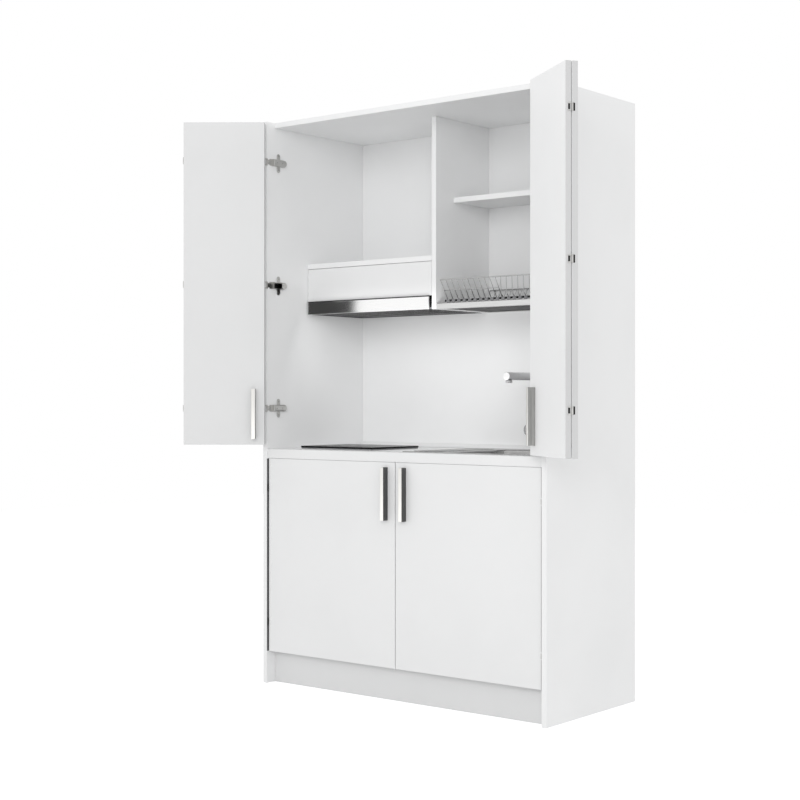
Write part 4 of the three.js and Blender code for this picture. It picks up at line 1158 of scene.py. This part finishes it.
def fan_blade(turn):
    """Half width 1.1 round a line whose angle grows with the square of the way out from r 54 to 71."""
    way = np.linspace(0.0, 1.0, 7)
    radius = 54.0 + 17.0 * way
    angle = turn + 0.28 * way ** 2
    centre = np.stack([radius * np.cos(angle), radius * np.sin(angle)], -1)
    across = np.stack([-np.sin(angle), np.cos(angle)], -1) * 1.1
    outline = np.concatenate([centre + across, (centre - across)[::-1]]) + HOOD_CENTRE
    heights = np.array([FAN_LOW + 1.5, FAN_HIGH - 0.5])
    flat = np.broadcast_to(outline, (2, len(outline), 2))
    tall = np.broadcast_to(heights[:, None, None], (2, len(outline), 1))
    return tube_ring(np.concatenate([flat, tall], -1))


hub = turned([(4.4, FAN_LOW), (73.4, FAN_LOW), (FAN_RADIUS, FAN_LOW + 0.6), (FAN_RADIUS, FAN_LOW + 2.4),
              (73.4, FAN_LOW + 3.0), (20.0, FAN_LOW + 3.0), (15.0, FAN_LOW + 6.0), (14.0, FAN_LOW + 10.0),
              (14.0, FAN_HIGH - 0.8), (13.2, FAN_HIGH), (4.4, FAN_HIGH)], HOOD_CENTRE, sides=72, loop=True)
crown = turned([(69.0, FAN_HIGH - 5.0), (FAN_RADIUS, FAN_HIGH - 5.0), (FAN_RADIUS, FAN_HIGH),
                (69.0, FAN_HIGH)], HOOD_CENTRE, sides=72, loop=True)
blades = [fan_blade(2 * np.pi * number / BLADES) for number in range(BLADES)]
fan = mesh_piece("fan_wheel", [hub, crown] + blades, "impeller", [fan_plastic])
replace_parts(fan, "hood_impeller")
print("motor and fan made")

# %% [markdown]
# The dish rack is bent and welded wire. In the part for plates the wires lean back from the front
# rail; in the part for cups they drop straight and bend at the bottom. All run along the floor of the
# rack and rise again at the back, and long rails hold them together. Small rubber buffers sit on the
# front rail between the wires. A path is a short list of corners with each corner rounded, and the
# wire is a circle carried along it. The rack stands in a metal frame.

# %% Dish rack
FRAME_TOP = float(node_corners("rack_frame")[1][2])
low, high = node_corners("dish_rack")
RACK_LEFT, RACK_RIGHT = low[0] + 10.0, high[0] - 10.0
RAIL, WIRE, WIRES = 1.9, 1.25, 25
FRONT, BACK = -45.0, 248.0
BASE = FRAME_TOP + 2.8
TOP, REAR_TOP, PLATES = BASE + 78.0, BASE + 58.0, 11
places = np.linspace(RACK_LEFT + 2.5, RACK_RIGHT - 2.5, WIRES)
REAR = [(BACK - 30.0, BASE), (BACK, REAR_TOP)]
LEANING = [(FRONT, TOP), (FRONT + 50.0, BASE)] + REAR
UPRIGHT = [(FRONT, TOP), (FRONT + 3.0, BASE + 22.0), (FRONT + 24.0, BASE)] + REAR
RAILS = [(FRONT, BASE, 2.5), (BACK, BASE, 2.5), (FRONT, TOP, RAIL), (BACK, REAR_TOP, RAIL),
         (FRONT + 50.0, BASE, RAIL), (BACK - 30.0, BASE, RAIL), (FRONT + 22.0, BASE + 43.0, WIRE)]


def rack_wire(x, route):
    """One wire at x along a route of (y, z) corners."""
    flat = rounded(route, 6.0)
    return swept(np.column_stack([np.full(len(flat), x), flat]), WIRE, (1.0, 0.0, 0.0))


def rack_rail(y, z, radius):
    """A rail along x: the thick ones reach past the wires, the thinnest ends with the plates."""
    reach = (low[0], high[0]) if radius > RAIL else (RACK_LEFT, RACK_RIGHT)
    reach = (RACK_LEFT, places[PLATES - 1]) if radius == WIRE else reach
    return rod(radius, *reach, (y, z), axis=0, sides=12, round_off=0.6)


wires = [rack_wire(x, LEANING if number < PLATES else UPRIGHT) for number, x in enumerate(places)]
rails = [rack_rail(*rail) for rail in RAILS]
ends = [rod(2.4, FRONT, BACK, (x, BASE), axis=1, sides=12) for x in (places[0], places[-1])]
buffers = [slab((x - 6.2, FRONT - 3.4, FRAME_TOP + 0.2), (x + 6.2, FRONT + 3.4, FRAME_TOP + 12.6), 1,
                edge=0.8, corner=1.5) for x in (places[2:] + places[1:-1]) / 2]
bars = wires + rails + ends
rack = mesh_piece("wire_rack", bars + buffers, "carcass", [wire_steel, buffer_rubber_and_gap_shade],
                  [0] * sum(len(part[1]) for part in bars) + [1] * sum(len(part[1]) for part in buffers))
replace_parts(rack, "dish_rack")
softened_copy("rack_frame", frame_steel, width=0.5)
print("rack wires", WIRES, "pitch", places[1] - places[0])

# %% [markdown]
# Under the rack lies a dark drip tray with shallow ribs, moulded in one piece; its near black is partly the
# tray's own plastic and partly painted shade, for the shade on its underside. It is a basin: rings that go
# up the outside, over the rim and down the inside, with the ribs set on its floor.

# %% Drip tray
low, high = node_corners("drip_tray")
floor_z, rim_z = low[2], high[2]
TRAY_RIBS, RIB_HALF, RIB_SHORT, RIB_INSET = 13, 2.0, 20.0, 40.0
shell = basin(low, high, 12.0, [(7.0, floor_z), (2.5, floor_z + 2.0), (0.0, floor_z + 7.0),
                                (0.0, rim_z - 0.4), (0.4, rim_z), (1.6, rim_z), (2.0, rim_z - 0.4),
                                (2.2, floor_z + 8.0), (4.4, floor_z + 3.6), (9.0, floor_z + 2.0)])
ribs = [slab((x - RIB_HALF, low[1] + RIB_SHORT, floor_z + 1.5),
             (x + RIB_HALF, high[1] - RIB_SHORT, floor_z + 3.6), 2, edge=0.9, corner=1.9)
        for x in np.linspace(low[0] + RIB_INSET, high[0] - RIB_INSET, TRAY_RIBS)]
tray = mesh_piece("drip_tray_shell", [shell] + ribs, "carcass", [tray_plastic])
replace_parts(tray, "drip_tray")
print("tray made")

# %% [markdown]
# The hob is a plate of black glass on a shallow steel pan. Its two cooking zones are printed rings,
# and a touch field is printed at the front: two little plus and minus signs and a dot each. A print is
# only a few hundredths of a millimetre thick, so thin rings and bars stand for it.

# %% Hob
low, high = node_corners("hob_glass")
GLASS_TOP = float(high[2])
PRINT_LOW, PRINT_HIGH = GLASS_TOP - 0.05, GLASS_TOP + 0.06
glass = slab(low, high, 2, edge=1.4, corner=5.0)
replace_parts(mesh_piece("hob_plate", [glass], "carcass", [hob_black]), "hob_glass")
softened_copy("hob_base", pan_steel, width=0.4)


def printed_ring(centre, radius, width):
    """A flat ring: a small rectangle that goes once round the centre."""
    return turned([(radius - width, PRINT_LOW), (radius, PRINT_LOW), (radius, PRINT_HIGH),
                   (radius - width, PRINT_HIGH)], centre, sides=96, loop=True)


def printed_bar(x, y, long_x, long_y):
    """A flat bar with its middle at x, y."""
    return slab((x - long_x / 2, y - long_y / 2, PRINT_LOW),
                (x + long_x / 2, y + long_y / 2, PRINT_HIGH), 2, edge=0.01)


ZONES = [((-426.0, -14.0), 72.0), ((-258.0, -14.0), 60.0)]
TOUCH_Y = -146.0
prints = [printed_ring(centre, radius - back, 1.2) for centre, radius in ZONES for back in (0.0, 4.0)]
for (x, y), radius in ZONES:
    prints += [printed_bar(x - 22.0, TOUCH_Y, 7.0, 1.0), printed_bar(x + 22.0, TOUCH_Y, 7.0, 1.0),
               printed_bar(x + 22.0, TOUCH_Y, 1.0, 7.0), printed_ring((x, TOUCH_Y), 3.4, 1.0)]
mesh_piece("hob_print", prints, "carcass", [zone_print])
print("hob made, glass top at", GLASS_TOP)

# %% [markdown]
# The sink is pressed from one sheet, so it is one closed grid: rings of rounded rectangles go over
# the rolled rim, down the bowl, along its floor to the round drain, and back along the underside. The
# ribs of the drainer are low rounded bars on the plate.

# %% Sink
low, high = node_corners("sink")
SINK_UNDER, SINK_TOP, FLOOR = 830.3, 832.3, 682.3
BOWL_LOW, BOWL_HIGH, BOWL_CORNER = np.array([130.0, -172.0]), np.array([490.0, 163.0]), 50.0
DRAIN = (BOWL_LOW + BOWL_HIGH) / 2
SHEET = 1.8
DRAINER_MIDDLE, DRAINER_PITCH = 53.5, 22.0


def sink_ring(kind, draw, z):
    """One ring: the plate or the bowl drawn in by draw, or a circle of that radius round the drain."""
    if kind == "plate":
        flat = rectangle(low[:2] + draw, high[:2] - draw, 15.0 - draw, 9)
    elif kind == "bowl":
        flat = rectangle(BOWL_LOW + draw, BOWL_HIGH - draw, BOWL_CORNER - draw, 9)
    else:
        flat = rectangle(DRAIN - draw, DRAIN + draw, draw - 0.1, 9)
    return np.column_stack([flat, np.full(len(flat), z)])


bend = np.linspace(0.0, np.pi / 2, 6)
lip = [("bowl", -6.0 + 6.0 * s, 825.7 + 6.0 * c) for s, c in zip(np.sin(bend), np.cos(bend))]
foot = [("bowl", 4.0 + 20.0 * (1 - c), FLOOR + 20.0 * (1 - s)) for s, c in zip(np.sin(bend), np.cos(bend))]
inside = lip + [("bowl", 2.0, 770.0)] + foot + [("round", 60.0, FLOOR), ("round", 46.0, FLOOR)]
outside = [(kind, draw - SHEET if kind == "bowl" else draw, z - SHEET)
           for kind, draw, z in inside[5:]][::-1]
rim = [("plate", 0.4, SINK_UNDER), ("plate", 0.0, SINK_UNDER + 0.5), ("plate", 0.0, SINK_TOP - 0.5),
       ("plate", 0.3, SINK_TOP - 0.1), ("plate", 1.0, SINK_TOP), ("plate", 8.0, SINK_TOP),
       ("plate", 9.5, 831.7)]
path = rim + inside + outside + [("bowl", -7.0, SINK_UNDER + 0.1)]
basin_part = tube_ring(np.stack([sink_ring(*step) for step in path]), loop=True)
drainer = [slab((x - 4.0, BOWL_LOW[1] + 2.5, SINK_TOP - 1.2),
                (x + 4.0, BOWL_HIGH[1] - 2.5, SINK_TOP + 1.4), 2, edge=1.2, corner=3.9)
           for x in DRAINER_MIDDLE + DRAINER_PITCH * np.arange(-2, 3)]
sink = mesh_piece("pressed_sink", [basin_part] + drainer, "carcass", [sink_steel])
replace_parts(sink, "sink")
print("sink rings", len(path))

# %% [markdown]
# Under the bowl a flanged waste fitting holds the plug, and a bottle trap with ribbed nuts leads to
# the pipe in the wall. All but the trap's body are turned shapes. The body has pipes that run into
# one another, so the model's own shape is kept and its edges are softened.

# %% Waste, plug, trap and pipe
waste = turned([(18.0, 588.3), (20.0, 588.3), (20.0, 646.3), (44.0, 646.3), (44.0, 682.6), (56.0, 682.6),
                (56.0, 683.4), (55.4, 684.4), (53.5, 685.1), (43.0, 685.1), (42.0, 684.2), (42.0, 648.3),
                (18.0, 648.3)], DRAIN, sides=64, loop=True)
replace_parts(mesh_piece("waste_ring", [waste], "carcass", [tap_chrome]), "waste_fitting")
stopper = turned([(34.0, 648.6), (37.0, 649.4), (38.0, 650.6), (37.6, 651.4), (36.5, 651.7),
                  (6.0, 651.7), (5.0, 652.6), (5.0, 659.0), (8.2, 659.6), (9.0, 660.6), (9.0, 666.2),
                  (8.4, 667.2), (7.2, 667.6)], DRAIN)
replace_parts(mesh_piece("waste_plug", [stopper], "plug", [tap_chrome]), "sink_plug")

OUTLET_Z, OUTLET_END = 560.0, 53.5
softened_copy("trap", pipe_plastic, width=0.8)
nuts = [turned([(26.3, 592.0), (29.4, 592.6), (30.0, 594.0), (30.0, 608.0), (29.4, 610.0),
                (26.3, 611.0)], DRAIN, sides=144, loop=True, ribs=(24, 0.7)),
        turned([(25.3, 40.0), (28.4, 40.6), (29.0, 42.0), (29.0, 51.0), (28.4, 52.6),
                (25.3, OUTLET_END)], (DRAIN[0], OUTLET_Z), axis=1, sides=144, loop=True, ribs=(24, 0.7))]
mesh_piece("trap_nuts", nuts, "carcass", [pipe_plastic])
low, high = node_corners("waste_pipe")
pipe = turned([(18.0, low[1]), (19.6, low[1]), (20.0, low[1] + 0.4), (20.0, high[1] - 0.4), (19.6, high[1]),
               (18.0, high[1])], (DRAIN[0], float(low[2] + high[2]) / 2), axis=1, loop=True)
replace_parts(mesh_piece("drain_pipe", [pipe], "carcass", [pipe_plastic]), "waste_pipe")
print("waste made, pipe middle at", (low[2] + high[2]) / 2)

# %% [markdown]
# The tap is turned chrome: a base that flares where it meets the sink, a straight column with a branch for
# the lever, a round spout that runs forward and swivels on the column, an aerator with a knurled rim under
# its end, and the lever's cap with a fine groove and a rod. The lever's cap and rod have a darker copy of
# the chrome: painted shade. The spout's end is closed by a disc of a much brighter copy of the chrome, a
# painted highlight that makes it the brightest spot of the tap. The aerator's gauze is black, painted shade
# in its outlet.

# %% Tap
TAP = (268.0, 198.0)
LEVER_Z, SPOUT_Z, COLUMN_TOP = 902.0, 1083.0, 1068.7
column = turned([(14.2, 775.3), (15.0, 776.1), (15.0, 832.5), (26.4, 832.6), (27.0, 833.2),
                 (26.8, 835.0), (24.4, 837.0), (19.6, 838.4), (17.6, 840.4), (17.0, 844.0),
                 (17.0, COLUMN_TOP - 1.2), (16.2, COLUMN_TOP), (10.0, COLUMN_TOP), (10.0, 1079.7),
                 (9.2, 1080.7)], TAP)
branch = rod(17.0, 174.3, TAP[1], (TAP[0], LEVER_Z), axis=1, sides=48, round_off=0.8)
pin = rod(8.0, 150.3, TAP[1], (TAP[0], LEVER_Z), axis=1)
nut = rod(24.0, 818.0, 829.6, TAP, sides=6, round_off=0.8)
tap = mesh_piece("tap_column", [column, branch, pin, nut], "carcass", [tap_chrome])
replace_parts(tap, "tap_body")
tube = turned([(12.4, -4.6), (13.5, -4.4), (14.0, -3.8), (14.0, 213.0), (13.4, 214.6), (12.4, 215.0)],
              (TAP[0], SPOUT_Z), axis=1)
socket = turned([(16.2, COLUMN_TOP + 0.3), (17.0, COLUMN_TOP + 1.1), (17.0, 1095.4), (16.4, 1096.6),
                 (15.0, 1097.0)], TAP)
disc = rod(12.9, -5.0, -4.0, (TAP[0], SPOUT_Z), axis=1, sides=48, round_off=0.3)
spout = mesh_piece("tap_spout_tube", [tube, socket, disc], "spout", [tap_chrome, spout_disc_painted_highlight_chrome],
                   [0] * (len(tube[1]) + len(socket[1])) + [1] * len(disc[1]))
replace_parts(spout, "tap_spout")
ring = turned([(8.8, 1066.7), (9.0, 1061.2), (9.5, 1060.7), (10.4, 1060.7), (10.9, 1061.4), (10.9, 1067.9),
               (10.3, 1068.7)], (TAP[0], 11.0), sides=144, ribs=(36, 0.15))
# The gauze is black: painted shade in the aerator's outlet.
gauze = rod(8.7, 1062.0, 1066.9, (TAP[0], 11.0))
aerator = mesh_piece("tap_aerator_ring", [ring, gauze], "spout", [tap_chrome, painted_shade_black],
                     [0] * len(ring[1]) + [1] * len(gauze[1]))
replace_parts(aerator, "tap_aerator")
bend = np.linspace(0.0, np.pi / 2, 6)
shoulder = list(zip(18.0 + 3.0 * np.sin(bend), 126.0 + 3.0 * (1 - np.cos(bend))))
cap = turned(shoulder + [(21.0, 153.0), (20.2, 153.8), (20.2, 155.2), (21.0, 156.0), (21.0, 173.0),
                         (20.2, 174.0)], (TAP[0], LEVER_Z), axis=1)
stick = rod(3.5, 287.0, 349.0, (158.0, LEVER_Z), axis=0, round_off=2.4)
lever = mesh_piece("tap_lever_cap", [cap, stick], "lever", [lever_painted_shade_chrome])
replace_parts(lever, "tap_lever")
print("tap made")

# %% [markdown]
# The middle foot screws up and down on a coarse thread, which is a ripple in the radius of its
# stem. It stands under the base panel and only shows from the side or from below.

# %% Middle foot
thread = np.linspace(12.0, 96.0, 113)
stem = 14.4 + 0.6 * np.cos(2 * np.pi * thread / 6.0)
stand = turned([(23.6, 0.0), (25.0, 1.2), (25.0, 6.2), (24.0, 7.6), (22.0, 8.0), (17.0, 8.6), (15.0, 10.5),
                *zip(stem, thread), (15.0, 99.0), (15.0, 111.0), (14.4, 111.7)], (0.0, 0.0))
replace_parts(mesh_piece("screw_foot", [stand], "carcass", [foot_plastic]), "middle_foot")
print("foot made")
